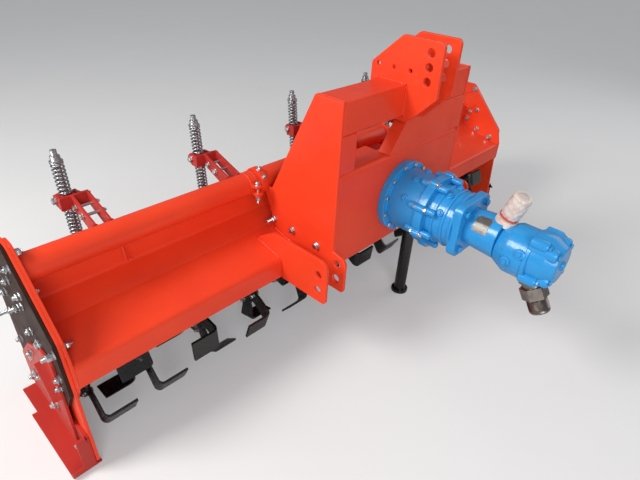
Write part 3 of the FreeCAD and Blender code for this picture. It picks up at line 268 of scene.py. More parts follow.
LOOKS = [
    (ORANGE, [
        "main_tube", "tube_collars", "hood", "hood_ends", "side_plate_left", "side_plate_right",
        "bearing_plate", "front_panel", "bevel_case", "tower_left", "tower_right", "arm", "clevis",
        "gusset", "outer_ears", "tube_clamps", "leg_sleeve"]),
    (SKID_RED, ["skid_left", "skid_right"]),
    (RED, ["hinge_brackets", "tailboard", "board_knuckles", "board_lugs", "yoke_arms", "trunnions"]),
    (BROWN, ["drive_case"]),
    (BLUE, [
        "drive_adapter", "reduction_housing", "motor_flange", "motor_body", "motor_barrel", "motor_cap"]),
    (BLACK, ["rotor_tube", "rotor_flanges", "rotor_blades"]),
    (LEG_BLACK, ["parking_leg"]),
    (ZINC, ["hinge_pin", "rotor_bearings"]),
    (THREAD, ["spring_rods"]),
    (SPRING, ["upper_springs", "lower_springs"]),
    (STEEL, ["port_fitting"]),
    (CREAM, ["port_plug"]),
]

# Widths in metres: a plain edge, and the rolled and cast edges that show rounder.
PLAIN_EDGE = 0.0011
WIDE_EDGES = {
    "arm": 0.0065,
    "tower_left": 0.0035,
    "tower_right": 0.0035,
    "clevis": 0.0022,
    "outer_ears": 0.0022,
    "motor_flange": 0.0030,
    "drive_adapter": 0.0025,
    "reduction_housing": 0.0022,
    "motor_barrel": 0.0040,
    "motor_cap": 0.0040,
}
WELD_DISTANCE = 0.00001
FLAT_ANGLE = math.radians(0.6)
EDGE_ANGLE = math.radians(32.0)


def dress(cad, look, wide_edge):
    """Gives a solid of the part its material, clean flat faces and small rounded edges."""
    if cad.material_slots:
        for material_slot in cad.material_slots:
            material_slot.material = look
    else:
        cad.data.materials.append(look)
    for polygon in cad.data.polygons:
        polygon.use_smooth = True
    weld = cad.modifiers.new("join", "WELD")
    weld.merge_threshold = WELD_DISTANCE
    flat = cad.modifiers.new("flat_faces", "DECIMATE")
    flat.decimate_type = "DISSOLVE"
    flat.angle_limit = FLAT_ANGLE
    edges = cad.modifiers.new("edges", "BEVEL")
    edges.width = wide_edge or PLAIN_EDGE
    edges.segments = 3 if wide_edge else 2
    edges.limit_method = "ANGLE"
    edges.angle_limit = EDGE_ANGLE
    edges.use_clamp_overlap = False
    shade = cad.modifiers.new("shading", "WEIGHTED_NORMAL")
    shade.weight = 70


for node_look, node_names in LOOKS:
    for node_name in node_names:
        dress(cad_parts[node_name], node_look, WIDE_EDGES.get(node_name))


# Helpers that build turned parts, bolts, tubes and weld beads

THREAD_PITCH = 1.8
BEAD_STEP, BEAD_SIDES = 3.5, 7


def frame_of(direction):
    """Rotation that takes +Z to a direction."""
    return direction.normalized().to_track_quat("Z", "Y").to_matrix().to_4x4()


def lathe(bm, base, direction, profile, segments, turn=0.0):
    """A turned shape: profile is (distance along, radius) in millimetres from base."""
    matrix = Matrix.Translation(base) @ frame_of(direction)
    rings = []
    for height, radius in profile:
        if radius <= 0.0:
            rings.append([bm.verts.new(matrix @ Vector((0, 0, height / 1000.0)))])
            continue
        rings.append([bm.verts.new(matrix @ Vector((
            radius / 1000.0 * math.cos(turn + math.tau * i / segments),
            radius / 1000.0 * math.sin(turn + math.tau * i / segments),
            height / 1000.0))) for i in range(segments)])
    for low, high in zip(rings, rings[1:]):
        for i in range(segments):
            j = (i + 1) % segments
            corners = [low[i % len(low)], low[j % len(low)], high[j % len(high)], high[i % len(high)]]
            unique = []
            for corner in corners:
                if corner not in unique:
                    unique.append(corner)
            bm.faces.new(unique)


def turned(bm, base, direction, outline, segments, turn=0.0):
    """A turned solid whose outline is closed to its axis at both ends."""
    profile = [(outline[0][0], 0), *outline, (outline[-1][0], 0)]
    lathe(bm, base, direction, profile, segments, turn)


def sleeve(bm, base, direction, inner, outer, length):
    """A plain ring with a bore."""
    lathe(bm, base, direction, [(0, inner), (0, outer), (length, outer), (length, inner), (0, inner)], 56)


def washer(bm, base, direction, radius, thickness):
    turned(bm, base, direction, [(0, radius - 0.4), (0.4, radius), (thickness - 0.4, radius),
                                 (thickness, radius - 0.4)], 20)


def hexagon(bm, base, direction, flats, height, turn=0.0):
    """A hexagon head or nut with chamfered corners, flats in millimetres across."""
    corner = flats / math.sqrt(3.0)
    turned(bm, base, direction, [(0, corner * 0.96), (height * 0.08, corner), (height * 0.80, corner),
                                 (height, corner * 0.86)], 6, turn)


def shank(bm, base, direction, radius, length):
    """A threaded end with a small chamfer."""
    outline = []
    count = max(2, int(length / THREAD_PITCH))
    for i in range(count):
        outline.append((length * i / count, radius * 0.90))
        outline.append((length * (i + 0.5) / count, radius))
    outline.append((length, radius * 0.80))
    turned(bm, base, direction, outline, 14)


def bolt(bm, seat, direction, size, tail=0.0, nuts=1, turn=0.0, plain=False):
    """Nuts or a head on a surface, over a washer unless plain, with a threaded tail if one is given."""
    direction = direction.normalized()
    level = 0.0
    if not plain:
        washer(bm, seat, direction, size * 1.02, size * 0.2)
        level = size * 0.2
    for number in range(nuts):
        base = seat + direction * level / 1000.0
        hexagon(bm, base, direction, size * 1.55, size * 0.72, turn + 0.4 * number)
        level += size * 0.74
    if tail:
        shank(bm, seat + direction * level / 1000.0, direction, size * 0.48, tail)


def finished(name, bm, look, body, smooth=32.0, bevel=0.0):
    """Makes a piece from a mesh, gives it its material, and lets it ride on its body."""
    bmesh.ops.recalc_face_normals(bm, faces=bm.faces)
    mesh = bpy.data.meshes.new(name)
    bm.to_mesh(mesh)
    bm.free()
    mesh.materials.append(look)
    obj = linked(name, mesh)
    mesh.set_sharp_from_angle(angle=math.radians(smooth))
    for face in mesh.polygons:
        face.use_smooth = True
    if bevel:
        modifier = obj.modifiers.new("edges", "BEVEL")
        modifier.width = bevel
        modifier.segments = 2
        modifier.limit_method = "ANGLE"
    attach(obj, body)
    return obj


def tube_along(bm, points, radius_at, sides=8):
    """A closed tube through points in metres; radius_at gives each ring's radius in metres."""
    rings = []
    normal = None
    for i, point in enumerate(points):
        ahead = points[min(i + 1, len(points) - 1)]
        behind = points[max(i - 1, 0)]
        tangent = (ahead - behind).normalized()
        if normal is None:
            guide = X_AXIS if abs(tangent.x) < 0.9 else Y_AXIS
            normal = tangent.cross(guide).normalized()
        normal = (normal - tangent * normal.dot(tangent)).normalized()
        binormal = tangent.cross(normal)
        radius = radius_at(i)
        ring = []
        for k in range(sides):
            angle = math.tau * k / sides
            spot = point + normal * radius * math.cos(angle) + binormal * radius * math.sin(angle)
            ring.append(bm.verts.new(spot))
        rings.append(ring)
    for low, high in zip(rings, rings[1:]):
        for k in range(sides):
            bm.faces.new((low[k], low[(k + 1) % sides], high[(k + 1) % sides], high[k]))
    bm.faces.new(rings[0])
    bm.faces.new(list(reversed(rings[-1])))


def bead(bm, start, end, radius):
    """A weld bead with ripples along a straight run."""
    length = (end - start).length
    count = max(4, int(length * 1000.0 / BEAD_STEP))
    points = [start.lerp(end, i / count) for i in range(count + 1)]

    def rippled(i):
        wave = 0.10 * math.sin(i * 1.9) + 0.07 * math.sin(i * 0.61 + length * 40.0)
        return radius / 1000.0 * (1.0 + wave)

    tube_along(bm, points, rippled, BEAD_SIDES)


def bead_run(bm, corners, radius):
    for start, end in zip(corners, corners[1:]):
        bead(bm, start, end, radius)


def bead_arc(bm, x, ring, start, end, radius):
    """A weld bead round the main tube, between two angles in degrees above the rear."""
    count = max(8, int(abs(math.radians(end - start)) * ring / BEAD_STEP))
    points = []
    for i in range(count + 1):
        angle = math.radians(start + (end - start) * i / count)
        points.append(place(x, TUBE_Y + ring * math.cos(angle), TUBE_Z + ring * math.sin(angle)))
    tube_along(bm, points, lambda i: radius / 1000.0 * (1.0 + 0.12 * math.sin(i * 1.9)), BEAD_SIDES)


# Coil springs. Distances are along the rod from its trunnion.

COIL_R, WIRE_R = 16.0, 3.0
CLOSED_TURNS = 0.9
STEPS_A_TURN = 22
UPPER_SPAN, UPPER_TURNS = (14.5, 111.5), 9.5
LOWER_SPAN, LOWER_TURNS = (-150.6, -30.5), 11.5


def coil(bm, x, low, high, turns):
    """A compression spring on a rod, its ends closed and flat, between two distances along it."""
    matrix = Matrix.Translation(along_rod(x, 0.0)) @ frame_of(
        Vector((0, math.sin(ROD_TILT), math.cos(ROD_TILT))))
    steps = int(turns * STEPS_A_TURN)
    points = []
    for i in range(steps + 1):
        turn = turns * i / steps
        share = min(max((turn - CLOSED_TURNS) / (turns - 2.0 * CLOSED_TURNS), 0.0), 1.0)
        share = share + 0.03 * math.sin(math.pi * share) * (0.5 - share)
        edge = (min(turn, CLOSED_TURNS) - min(turns - turn, CLOSED_TURNS)) / CLOSED_TURNS * 2.0
        height = low + WIRE_R + (high - low - 2.0 * WIRE_R) * share + edge * 0.9
        height = min(max(height, low + WIRE_R), high - WIRE_R)
        around = math.tau * turn
        spot = Vector((COIL_R * math.cos(around), COIL_R * math.sin(around), height)) / 1000.0
        points.append(matrix @ spot)
    tube_along(bm, points, lambda i: WIRE_R / 1000.0, 8)


upper = bmesh.new()
lower = bmesh.new()
for rod_x in ROD_XS:
    coil(upper, rod_x, *UPPER_SPAN, UPPER_TURNS)
    coil(lower, rod_x, *LOWER_SPAN, LOWER_TURNS)
upper_coils = finished("upper_coils", upper, SPRING, "trunnions", 60.0)
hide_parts("upper_springs")
lower_coils = finished("lower_coils", lower, SPRING, "trunnions", 60.0)
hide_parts("lower_springs")
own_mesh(lower_coils)

# Bolts and nuts. A row is (Y, Z, length of the threaded tail, number of nuts).

END_NUTS = [
    (209.0, 426.0, 9.0, 2), (291.0, 448.0, 5.0, 1), (362.0, 487.0, 5.0, 1), (352.0, 526.0, 5.0, 1),
    (312.0, 545.0, 5.0, 1), (350.0, 648.0, 5.0, 1)]
CASE_STUDS = [
    (175.0, 446.0, 12.0, 2), (195.0, 344.0, 6.0, 1), (320.0, 545.0, 8.0, 1), (337.0, 415.0, 5.0, 1),
    (341.0, 499.0, 14.0, 2), (396.0, 552.0, 6.0, 1), (334.0, 622.0, 5.0, 1), (392.0, 645.0, 5.0, 1),
    (481.0, 465.0, 24.0, 1), (452.0, 560.0, 6.0, 1), (520.0, 372.0, 24.0, 1), (512.0, 264.0, 6.0, 1),
    (424.0, 170.0, 6.0, 1), (222.0, 288.0, 6.0, 1)]
bm = bmesh.new()
for side in SIDES:
    for y, z, tail, nuts in END_NUTS:
        bolt(bm, place(side * END_INNER, y, z), outward(-side), 12.0, tail, nuts, y)
finished("end_plate_nuts", bm, ZINC, "frame")
bm = bmesh.new()
for y, z, tail, nuts in CASE_STUDS:
    bolt(bm, place(-CASE_OUTER, y, z), -X_AXIS, 12.0, tail, nuts, y)
finished("case_studs", bm, ZINC, "frame")

# skids: two bolts in the slots, two in the plate, one beside the toe
SKID_BOLTS = [                      # Y, Z, size, tail
    (302.0, 160.0, 14.0, 6.0), (406.0, 211.0, 14.0, 6.0), (391.0, 300.0, 12.0, 5.0),
    (494.0, 120.0, 12.0, 5.0)]
TOE_BOLT_Y, TOE_BOLT_Z = 182.0, 92.0
bm = bmesh.new()
for side in SIDES:
    for y, z, size, tail in SKID_BOLTS:
        bolt(bm, place(side * UPRIGHT_OUTER, y, z), outward(side), size, tail, turn=z)
    bolt(bm, place(side * CASE_OUTER, TOE_BOLT_Y, TOE_BOLT_Z), outward(side), 13.0, 12.0)
finished("skid_bolts", bm, ZINC, "frame")

# Rotor blades: two bolts each. A flange carries six blades, the flanges at the ends three.
FLANGE_PITCH, FLANGE_TURN = 231.0, 24.0
END_FLANGE_X = 1101.0
BLADE_BOLT_RINGS = (66.0, 86.0)
HEAD_FACE, NUT_FACE = 13.0, 5.0     # from the flange's middle to the blade's and the flange's face
bm = bmesh.new()
flanges = [(FLANGE_PITCH * (i - 4), i * FLANGE_TURN) for i in range(9)]
blades = [(x, start + 60.0 * i, 1.0 if i % 2 == 0 else -1.0) for x, start in flanges for i in range(6)]
blades += [(-END_FLANGE_X, 120.0 * i, 1.0) for i in range(3)]
blades += [(END_FLANGE_X, 252.0 + 120.0 * i, -1.0) for i in range(3)]
for x, degrees, hand in blades:
    angle = math.radians(degrees)
    for ring in BLADE_BOLT_RINGS:
        y, z = ROTOR_Y - ring * math.sin(angle), ROTOR_Z + ring * math.cos(angle)
        bolt(bm, place(x + hand * HEAD_FACE, y, z), outward(hand), 10.0, turn=degrees, plain=True)
        bolt(bm, place(x - hand * NUT_FACE, y, z), outward(-hand), 10.0, 4.0, turn=degrees)
finished("blade_bolts", bm, ZINC, "rotor")

# drive unit: bolts of the adapter on the headstock box
ADAPTER_RING, ADAPTER_FACE_Y = 119.5, -26.0
bm = bmesh.new()
for angle in ring_angles(12):
    x, z = ADAPTER_RING * math.cos(angle), DRIVE_Z + ADAPTER_RING * math.sin(angle)
    bolt(bm, place(x, ADAPTER_FACE_Y, z), -Y_AXIS, 9.0, turn=angle, plain=True)
finished("adapter_bolts", bm, ZINC, "frame")

# lugs of the reduction gear: heads in front, nuts behind
GEAR_RING = 122.0
GEAR_HEADS_Y, GEAR_NUTS_Y = -170.0, -140.0
bm = bmesh.new()
for angle in ring_angles(8):
    bolt(bm, spoke(GEAR_RING, GEAR_HEADS_Y, DRIVE_Z, angle), -Y_AXIS, 10.0, turn=angle)
    bolt(bm, spoke(GEAR_RING, GEAR_NUTS_Y, DRIVE_Z, angle), Y_AXIS, 9.0, 5.0, turn=angle, plain=True)
finished("gear_bolts", bm, ZINC, "frame")

# towers, and the rings on the tube beside them
TOWER_BOLTS = [(286.0, 462.0, 22.0), (189.0, 458.0, 0.0), (72.0, 452.0, 0.0)]   # Y, Z, tail
CLAMP_DEGREES = (35.0, 75.0)        # above the front of the tube
CLAMP_SEAT = 0.0475                 # metres from the tube's axis
bm = bmesh.new()
for side in SIDES:
    for y, z, tail in TOWER_BOLTS:
        bolt(bm, place(side * TOWER_OUTER, y, z), outward(side), 13.0, tail, turn=y)
    for degrees in CLAMP_DEGREES:
        angle = math.radians(degrees)
        way = Vector((0, -math.cos(angle), math.sin(angle)))
        seat = place(side * CLAMP_MIDDLE, TUBE_Y, TUBE_Z) + way * CLAMP_SEAT
        bolt(bm, seat, way, 9.0, 4.0, turn=angle)
finished("tower_bolts", bm, ZINC, "frame")

# split clamp on the tube beside the left tower: two lugs held by an upright bolt
STRAP_X, STRAP_WIDTH = -402.0, 26.0
STRAP_LEFT = STRAP_X - STRAP_WIDTH / 2.0
STRAP_RIGHT = STRAP_X + STRAP_WIDTH / 2.0
STRAP_BORE = TUBE_R + 0.2
STRAP_LUG = (0.026, 0.034, 0.009, 1.0)      # sizes in metres, as a scale matrix takes them
STRAP_LUG_Y, STRAP_LUG_ZS = 311.0, (568.0, 596.0)
STRAP_BOLT_Y = 308.0
bm = bmesh.new()
for low in STRAP_LUG_ZS:
    matrix = Matrix.Translation(place(STRAP_X, STRAP_LUG_Y, low + 4.5)) @ Matrix.Diagonal(STRAP_LUG)
    bmesh.ops.create_cube(bm, size=1.0, matrix=matrix)
for x in (STRAP_LEFT, STRAP_RIGHT):
    sleeve(bm, place(x - 2.0, TUBE_Y, TUBE_Z), X_AXIS, STRAP_BORE, TUBE_R + 3.5, 4)
sleeve(bm, place(STRAP_LEFT, TUBE_Y, TUBE_Z), X_AXIS, STRAP_BORE, TUBE_R + 2.6, STRAP_WIDTH)
finished("tube_strap", bm, ORANGE, "frame", 40.0, 0.0012)
bm = bmesh.new()
bolt(bm, place(STRAP_X, STRAP_BOLT_Y, 605.0), Z_AXIS, 11.0, 3.0)
turned(bm, place(STRAP_X, STRAP_BOLT_Y, 577.0), Z_AXIS, [(0, 5.2), (19.5, 5.2)], 14)
bolt(bm, place(STRAP_X, STRAP_BOLT_Y, 568.0), -Z_AXIS, 11.0, 12.0, 2)
finished("strap_bolt", bm, ZINC, "frame")

# yokes: pivot bolts at the trunnions, two bolts through each pair of arms
YOKE_SIDE = 32.0
ARMS_FROM, ARMS_TO = 0.0, 54.0      # outer faces of a pair of arms, from the rod's X
ARM_T, ARMS_GAP = 8.0, 38.0
ARM_BOLTS = ((448.0, 628.0), (487.0, 640.0))
bm = bmesh.new()
for rod_x in ROD_XS:
    for side in SIDES:
        tail = 4.0 if side > 0 else 0.0
        bolt(bm, place(rod_x + side * YOKE_SIDE, PIVOT_Y, PIVOT_Z), outward(side), 11.0, tail)
    for y, z in ARM_BOLTS:
        bolt(bm, place(rod_x + ARMS_FROM, y, z), -X_AXIS, 10.0, turn=y)
        bolt(bm, place(rod_x + ARMS_TO, y, z), X_AXIS, 10.0, 6.0, turn=z)
        turned(bm, place(rod_x + ARM_T, y, z), X_AXIS, [(0, 4.6), (ARMS_GAP, 4.6)], 12)
finished("yoke_bolts", bm, ZINC, "frame")

# pins at the lower ends of the rods
ROD_EYE = -218.0
LUG_SIDE = 0.017                    # metres from the rod's axis
bm = bmesh.new()
for rod_x in ROD_XS:
    eye = along_rod(rod_x, ROD_EYE)
    for side in SIDES:
        bolt(bm, eye + outward(side) * LUG_SIDE, outward(side), 10.0, 4.0 if side > 0 else 0.0)
finished("lug_bolts", bm, ZINC, "tailboard")

# Painted lugs, bolts, bosses and ribs of the drive unit. Rings are radii, faces are Y.
GEAR_LUG_RING, GEAR_LUG_FACE = 112.0, -108.0
FLANGE_RING, FLANGE_FACE = 90.0, -292.0
CAP_RING, CAP_LUGS_Y, CAP_BOLTS_Y = 63.0, -498.0, -581.5
CAP_SIDE_RING, CAP_SIDE_LUGS_Y, CAP_SIDE_BOLTS_Y, CAP_SIDE_TURN = 83.0, -500.0, -551.5, 0.12
BOSS_DEGREES = (-62.0, -24.0, 14.0, 52.0)
BOSSES = [(-84.0, 109.0), (-214.0, 97.0)]                       # Y, radius
BARREL_BOSSES = [(-452.0, -6.0), (-486.0, 30.0)]                # Y, height over the axis
BARREL_R = 82.0
RIBS = [(-262.0, 101.0), (-196.0, 103.0), (-232.0, 101.0)]      # Y, radius
BARREL_RIB_Y = -498.0
bm = bmesh.new()
for angle in ring_angles(8):
    turned(bm, spoke(GEAR_LUG_RING, GEAR_LUG_FACE, DRIVE_Z, angle), -Y_AXIS,
           [(0, 9), (4, 12), (94, 12), (99, 8)], 18)
for angle in ring_angles(4):
    bolt(bm, spoke(FLANGE_RING, FLANGE_FACE, DRIVE_Z, angle), -Y_AXIS, 13.0, turn=angle)
    turned(bm, spoke(CAP_RING, CAP_LUGS_Y, CAP_Z, angle), -Y_AXIS,
           [(0, 19), (3, 22), (76, 22), (84, 17)], 22)
    bolt(bm, spoke(CAP_RING, CAP_BOLTS_Y, CAP_Z, angle), -Y_AXIS, 11.0, turn=angle, plain=True)
for angle in ring_angles(4, CAP_SIDE_TURN):
    turned(bm, spoke(CAP_SIDE_RING, CAP_SIDE_LUGS_Y, CAP_Z, angle), -Y_AXIS,
           [(0, 14), (3, 17), (44, 17), (52, 13)], 20)
    bolt(bm, spoke(CAP_SIDE_RING, CAP_SIDE_BOLTS_Y, CAP_Z, angle), -Y_AXIS, 10.0, turn=angle)
for degrees in BOSS_DEGREES:
    angle = math.radians(degrees)
    way = spoke_way(angle)
    for y, radius in BOSSES:
        seat = spoke(radius, y, DRIVE_Z, angle)
        turned(bm, seat, way, [(-4, 13), (5, 12), (6.5, 10)], 20)
        hexagon(bm, seat + way * 0.0063, way, 13.0, 5.0, angle)
for y, lift in BARREL_BOSSES:
    for side in SIDES:
        way = Vector((side * math.cos(math.asin(lift / BARREL_R)), 0, lift / BARREL_R))
        seat = place(0.0, y, MOTOR_Z) + way * 0.078
        turned(bm, seat, way, [(0, 17), (8, 16), (10, 13)], 22)
        hexagon(bm, seat + way * 0.0098, way, 14.0, 5.0)
for y, radius in RIBS:
    turned(bm, place(0.0, y + 5.0, DRIVE_Z), -Y_AXIS,
           [(0, radius - 2), (2, radius), (8, radius), (10, radius - 2)], 64)
turned(bm, place(0.0, BARREL_RIB_Y, MOTOR_Z), -Y_AXIS, [(0, 82), (2, 85), (12, 85), (14, 82)], 64)
finished("motor_fittings", bm, BLUE, "frame", 34.0, 0.0008)

# blank plate on the motor, bent to its tapered body and held by four rivets
PLATE_STEPS, PLATE_STEP, PLATE_FROM = 10, 5.0, -72.0            # degrees from straight up
PLATE_YS = (-318.0, -368.0)
RIVET_DEGREES, RIVET_YS = (-69.0, -25.0), (-321.0, -365.0)


def body_radius(y):
    """The motor body's radius at a Y, with 1 mm for the plate."""
    return 62.0 + 8.0 * (FLANGE_FACE - y) / 108.0 + 1.0


bm = bmesh.new()
grid = []
for i in range(PLATE_STEPS + 1):
    angle = math.radians(PLATE_FROM + PLATE_STEP * i)
    grid.append([bm.verts.new(spoke(body_radius(y), y, DRIVE_Z, angle)) for y in PLATE_YS])
for first, second in zip(grid, grid[1:]):
    bm.faces.new((first[0], first[1], second[1], second[0]))
bmesh.ops.solidify(bm, geom=bm.faces[:], thickness=0.0007)
for degrees in RIVET_DEGREES:
    angle = math.radians(degrees)
    for y in RIVET_YS:
        lathe(bm, spoke(body_radius(y), y, DRIVE_Z, angle), spoke_way(angle),
              [(0, 0), (0, 2.4), (0.8, 2.0), (1.2, 1.0), (1.3, 0)], 12)
finished("motor_plate", bm, PLATE, "frame", 40.0)

# thread and collar of the hose fitting
FITTING_Y, FITTING_TILT = -468.0, math.radians(32.0)
FITTING_BORE = 19.5
THREAD_FROM, THREAD_TO, THREAD_TURNS = 158.0, 206.0, 13
bm = bmesh.new()
way = Vector((0, -math.sin(FITTING_TILT), -math.cos(FITTING_TILT)))
port = place(0.0, FITTING_Y, MOTOR_Z)
rings = [(THREAD_FROM, FITTING_BORE), (THREAD_FROM, 31.0)]
for i in range(THREAD_TURNS):
    rings += [(159.0 + 3.0 * i, 32.6), (160.5 + 3.0 * i, 30.9)]
rings += [(201.0, 32.4), (THREAD_TO, 30.0), (THREAD_TO, FITTING_BORE), (THREAD_FROM, FITTING_BORE)]
lathe(bm, port, way, rings, 40)
turned(bm, port, way, [(84.0, 35.5), (86.0, 37.0), (98.0, 37.0), (100.0, 35.5)], 40)
finished("fitting_thread", bm, STEEL, "frame", 30.0)

# film wrapped round the plug of the upper port, with a band at its foot
PLUG_Y, PLUG_TILT = -370.0, math.radians(18.0)
FILM_SIDES, FILM_RINGS = 44, 24
FILM_FOOT, FILM_LENGTH, FILM_TIP = 93.0, 86.5, 182.5
BAND_FOOT = 0.096                   # metres from the motor's axis


def film_radius(height, angle, ring):
    """Creased film that bulges over the plug and closes at its last ring."""
    crease = (math.sin(5.0 * angle + 0.11 * height) * math.sin(0.17 * height + 1.3 * math.sin(3.0 * angle))
              + 0.6 * math.sin(11.0 * angle - 0.23 * height))
    radius = 28.2 + 1.6 * crease + 2.6 * math.sin(math.pi * min(1.0, ring / 20.0))
    return radius * 0.86 if ring == FILM_RINGS else radius


bm = bmesh.new()
way = Vector((0, -math.sin(PLUG_TILT), math.cos(PLUG_TILT)))
plug = place(0.0, PLUG_Y, MOTOR_Z)
matrix = Matrix.Translation(plug) @ frame_of(way)
rings = []
for i in range(FILM_RINGS + 1):
    height = FILM_FOOT + FILM_LENGTH * i / FILM_RINGS
    ring = []
    for k in range(FILM_SIDES):
        angle = math.tau * k / FILM_SIDES
        radius = film_radius(height, angle, i)
        spot = Vector((radius * math.cos(angle), radius * math.sin(angle), height)) / 1000.0
        ring.append(bm.verts.new(matrix @ spot))
    rings.append(ring)
tip = bm.verts.new(matrix @ Vector((0, 0, FILM_TIP / 1000.0)))
foot = bm.verts.new(matrix @ Vector((0, 0, FILM_FOOT / 1000.0)))
for k in range(FILM_SIDES):
    after = (k + 1) % FILM_SIDES
    for low, high in zip(rings, rings[1:]):
        bm.faces.new((low[k], low[after], high[after], high[k]))
    bm.faces.new((rings[-1][k], rings[-1][after], tip))
    bm.faces.new((rings[0][after], rings[0][k], foot))
finished("port_film", bm, FILM, "frame", 50.0)
bm = bmesh.new()
turned(bm, plug + way * BAND_FOOT, way, [(0, 30.2), (2, 31.0), (6, 31.0), (8, 30.2)], 40)
finished("port_band", bm, BAND, "frame", 40.0)

# hook under the main tube
HOOK_X, HOOK_WIRE = -878.0, 0.0042
HOOK_BEND_R = 9.0
bm = bmesh.new()
hook = [place(HOOK_X, 354.0, 553.0)]
for i in range(9):
    hook.append(place(HOOK_X, 352.0 - i, 545.0 - 4.6 * i))
for i in range(1, 9):
    angle = math.pi * i / 9.0
    across, drop = HOOK_BEND_R * (1.0 - math.cos(angle)), HOOK_BEND_R * math.sin(angle)
    hook.append(place(HOOK_X + across, 343.6, 508.0 - drop))
tube_along(bm, hook, lambda i: HOOK_WIRE, 10)
finished("tube_hook", bm, ORANGE, "frame", 60.0)

# plugs of the side drive's case
CASE_PLUGS = ((446.0, 236.0), (300.0, 392.0))
bm = bmesh.new()
for y, z in CASE_PLUGS:
    turned(bm, place(-CASE_OUTER, y, z), -X_AXIS, [(0, 17), (4, 17), (5, 15)], 24)
    hexagon(bm, place(-CASE_OUTER - 4.8, y, z), -X_AXIS, 19.0, 7.0)
finished("case_plugs", bm, ZINC, "frame")

# washers at the ends of the tailboard's hinge pin, and the pin's riveted ends
HINGE_WASHER_X, HINGE_RIVET_X = 1130.2, 1133.0
bm = bmesh.new()
for side in SIDES:
    washer(bm, place(side * HINGE_WASHER_X, HINGE_Y, HINGE_Z), outward(side), 14.0, 3.0)
    turned(bm, place(side * HINGE_RIVET_X, HINGE_Y, HINGE_Z), outward(side), [(0, 7.6), (4.0, 7.0)], 18)
finished("hinge_ends", bm, ZINC, "frame")

# Weld beads. The deck's upper face rises from its lip to its crease and on to the upstand.
# Lists of straight beads give (Y, Z) of the start, (Y, Z) of the end and the bead's radius.

LIP_TOP, CREASE, UPSTAND_FOOT = (152.0, 399.0), (302.0, 434.0), (381.5, 470.0)
DECK_WELDS = [                      # X, first Y, last Y, radius
    (349.5, 158.0, 297.0, 3.6), (334.5, 158.0, 297.0, 3.6), (422.5, 158.0, 268.0, 3.4),
    (437.5, 158.0, 268.0, 3.4), (1138.5, 160.0, 379.0, 3.4)]
BEAD_RING = TUBE_R + 1.0
TUBE_WELDS = [(1138.5, -150.0, 150.0), (350.0, 10.0, 170.0)]    # X, degrees above the rear
UPSTAND_Y, UPSTAND_WELD_Z = 381.5, 554.5
TOWER_WELD_X = 336.5
TOWER_WELDS = [
    ((4.0, 953.4), (106.0, 953.4), 2.8), ((0.6, 856.0), (0.6, 950.0), 2.6),
    ((0.6, 388.0), (0.6, 726.0), 2.4)]
CLEVIS_MIDDLES, CLEVIS_HALF = 45.0, 8.0
CLEVIS_WELDS = [
    ((4.0, 955.0), (106.0, 955.0), 3.4), ((-1.0, 858.0), (-1.0, 950.0), 3.4),
    ((111.0, 858.0), (111.0, 950.0), 3.4)]
YOKE_WELD_XS = (-1.2, 9.2, 44.8, 55.2)


def deck_height(y):
    low, high = (LIP_TOP, CREASE) if y < CREASE[0] else (CREASE, UPSTAND_FOOT)
    return low[1] + (high[1] - low[1]) * (y - low[0]) / (high[0] - low[0])


def deck_line(x, first, last):
    """Points on the deck's upper face from one Y to another."""
    stops = [first] + ([CREASE[0]] if first < CREASE[0] < last else []) + [last]
    return [place(x, y, deck_height(y)) for y in stops]


bm = bmesh.new()
for side in SIDES:
    for x, first, last, radius in DECK_WELDS:
        bead_run(bm, deck_line(side * x, first, last), radius)
    for x, start, end in TUBE_WELDS:
        bead_arc(bm, side * x, BEAD_RING, start, end, 3.4)
    bead(bm, place(side * 1136.0, UPSTAND_Y, UPSTAND_WELD_Z),
         place(side * 374.0, UPSTAND_Y, UPSTAND_WELD_Z), 3.2)
    for start, end, radius in TOWER_WELDS:
        bead(bm, place(side * TOWER_WELD_X, *start), place(side * TOWER_WELD_X, *end), radius)
    for x in (side * CLEVIS_MIDDLES - CLEVIS_HALF, side * CLEVIS_MIDDLES + CLEVIS_HALF):
        for start, end, radius in CLEVIS_WELDS:
            bead(bm, place(x, *start), place(x, *end), radius)
bead(bm, place(-340.0, UPSTAND_Y, UPSTAND_WELD_Z), place(340.0, UPSTAND_Y, UPSTAND_WELD_Z), 3.2)
bead(bm, place(-92.0, 0.2, 729.0), place(270.0, 0.2, 729.0), 2.6)
bead(bm, place(0.0, 0.2, 852.0), place(270.0, 0.2, 852.0), 2.6)
finished("frame_welds", bm, ORANGE, "frame", 60.0)

bm = bmesh.new()
for rod_x in ROD_XS:
    for x in YOKE_WELD_XS:
        bead_arc(bm, rod_x + x, BEAD_RING, 62.0, 2.0, 3.0)
        bead(bm, place(rod_x + x, 508.0, 631.0), place(rod_x + x, 508.0, 667.0), 2.8)
finished("yoke_welds", bm, RED, "frame", 60.0)

# Camera, floor and light

IMAGE_WIDTH, FOCAL_PIXELS, SENSOR_WIDTH = 640.0, 495.0, 36.0
CAMERA_AT = (-1.369, -0.89125, 1.374)
FLOOR_HALF = 60
FLOOR_GLOW = 0.22                   # emission of the floor, for the camera's rays only
SKY_STRENGTH, SKY_GLOW = 0.30, 0.46

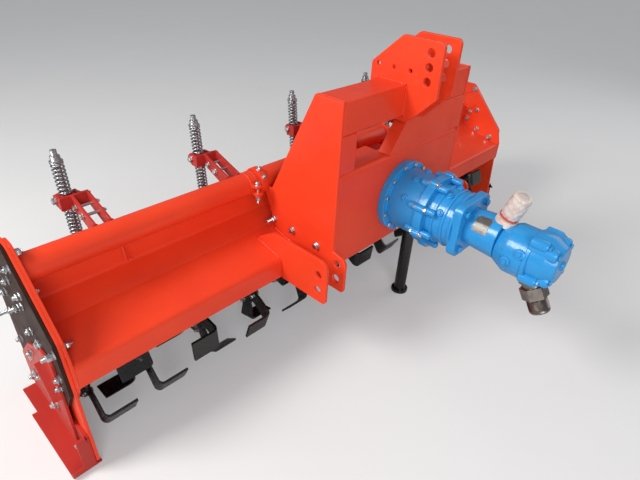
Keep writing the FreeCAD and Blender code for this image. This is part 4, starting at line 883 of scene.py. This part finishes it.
right = Vector((0.691, -0.721, 0.047)).normalized()
forward = Vector((0.623, 0.561, -0.545)).normalized()
right = (right - forward * right.dot(forward)).normalized()
up = right.cross(forward)
camera_data = bpy.data.cameras.new("camera")
camera_data.sensor_width = SENSOR_WIDTH
camera_data.lens = FOCAL_PIXELS * SENSOR_WIDTH / IMAGE_WIDTH
camera_data.clip_end = 200.0
camera = linked("camera", camera_data)
camera.matrix_world = Matrix((
    (right.x, up.x, -forward.x, CAMERA_AT[0]),
    (right.y, up.y, -forward.y, CAMERA_AT[1]),
    (right.z, up.z, -forward.z, CAMERA_AT[2]),
    (0, 0, 0, 1)))
bpy.context.scene.camera = camera


def seen_by_camera(nodes, links, glow, base):
    """A strength of base, plus glow on the rays that come straight from the camera."""
    path = nodes.new("ShaderNodeLightPath")
    lift = nodes.new("ShaderNodeMath")
    lift.operation = "MULTIPLY_ADD"
    lift.inputs[1].default_value = glow
    lift.inputs[2].default_value = base
    links.new(path.outputs["Is Camera Ray"], lift.inputs[0])
    return lift.outputs["Value"]


floor_mesh = bpy.data.meshes.new("floor")
floor_mesh.from_pydata([(-FLOOR_HALF, -FLOOR_HALF, 0), (FLOOR_HALF, -FLOOR_HALF, 0),
                        (FLOOR_HALF, FLOOR_HALF, 0), (-FLOOR_HALF, FLOOR_HALF, 0)], [], [(0, 1, 2, 3)])
floor = linked("floor", floor_mesh)
floor_look, nodes, links, shader = tree("floor_finish")
coords = nodes.new("ShaderNodeTexCoord")
cloud = noise(nodes, links, coords, 2.0, 4.0)
links.new(mix(nodes, links, cloud, (0.60, 0.597, 0.590), (0.64, 0.637, 0.630)), shader.inputs["Base Color"])
shader.inputs["Roughness"].default_value = 0.85
shader.inputs["Specular IOR Level"].default_value = 0.1
shader.inputs["Emission Color"].default_value = (0.96, 0.97, 1.0, 1.0)
links.new(seen_by_camera(nodes, links, FLOOR_GLOW, 0.0), shader.inputs["Emission Strength"])
floor_mesh.materials.append(floor_look)


def area_light(name, location, target, size, power, colour=(1, 1, 1)):
    data = bpy.data.lights.new(name, "AREA")
    data.shape = "SQUARE"
    data.size = size
    data.energy = power
    data.color = colour
    lamp = linked(name, data)
    lamp.location = location
    lamp.rotation_euler = (Vector(target) - Vector(location)).to_track_quat("-Z", "Y").to_euler()


area_light("key", (-3.4, 1.3, 3.3), (0, 0, 0.4), 1.6, 160.0, (1.0, 0.98, 0.95))
area_light("fill", (-2.8, -3.4, 2.2), (0, 0, 0.5), 2.2, 99.0)
area_light("side", (3.6, -1.2, 2.6), (0, 0, 0.5), 2.5, 26.0)
world = bpy.data.worlds.new("world")
bpy.context.scene.world = world
world.use_nodes = True
nodes, links = world.node_tree.nodes, world.node_tree.links
sky = nodes["Background"]
sky.inputs["Color"].default_value = (0.86, 0.88, 0.92, 1)
links.new(seen_by_camera(nodes, links, SKY_GLOW, SKY_STRENGTH), sky.inputs["Strength"])

bpy.context.scene.view_settings.view_transform = "Standard"
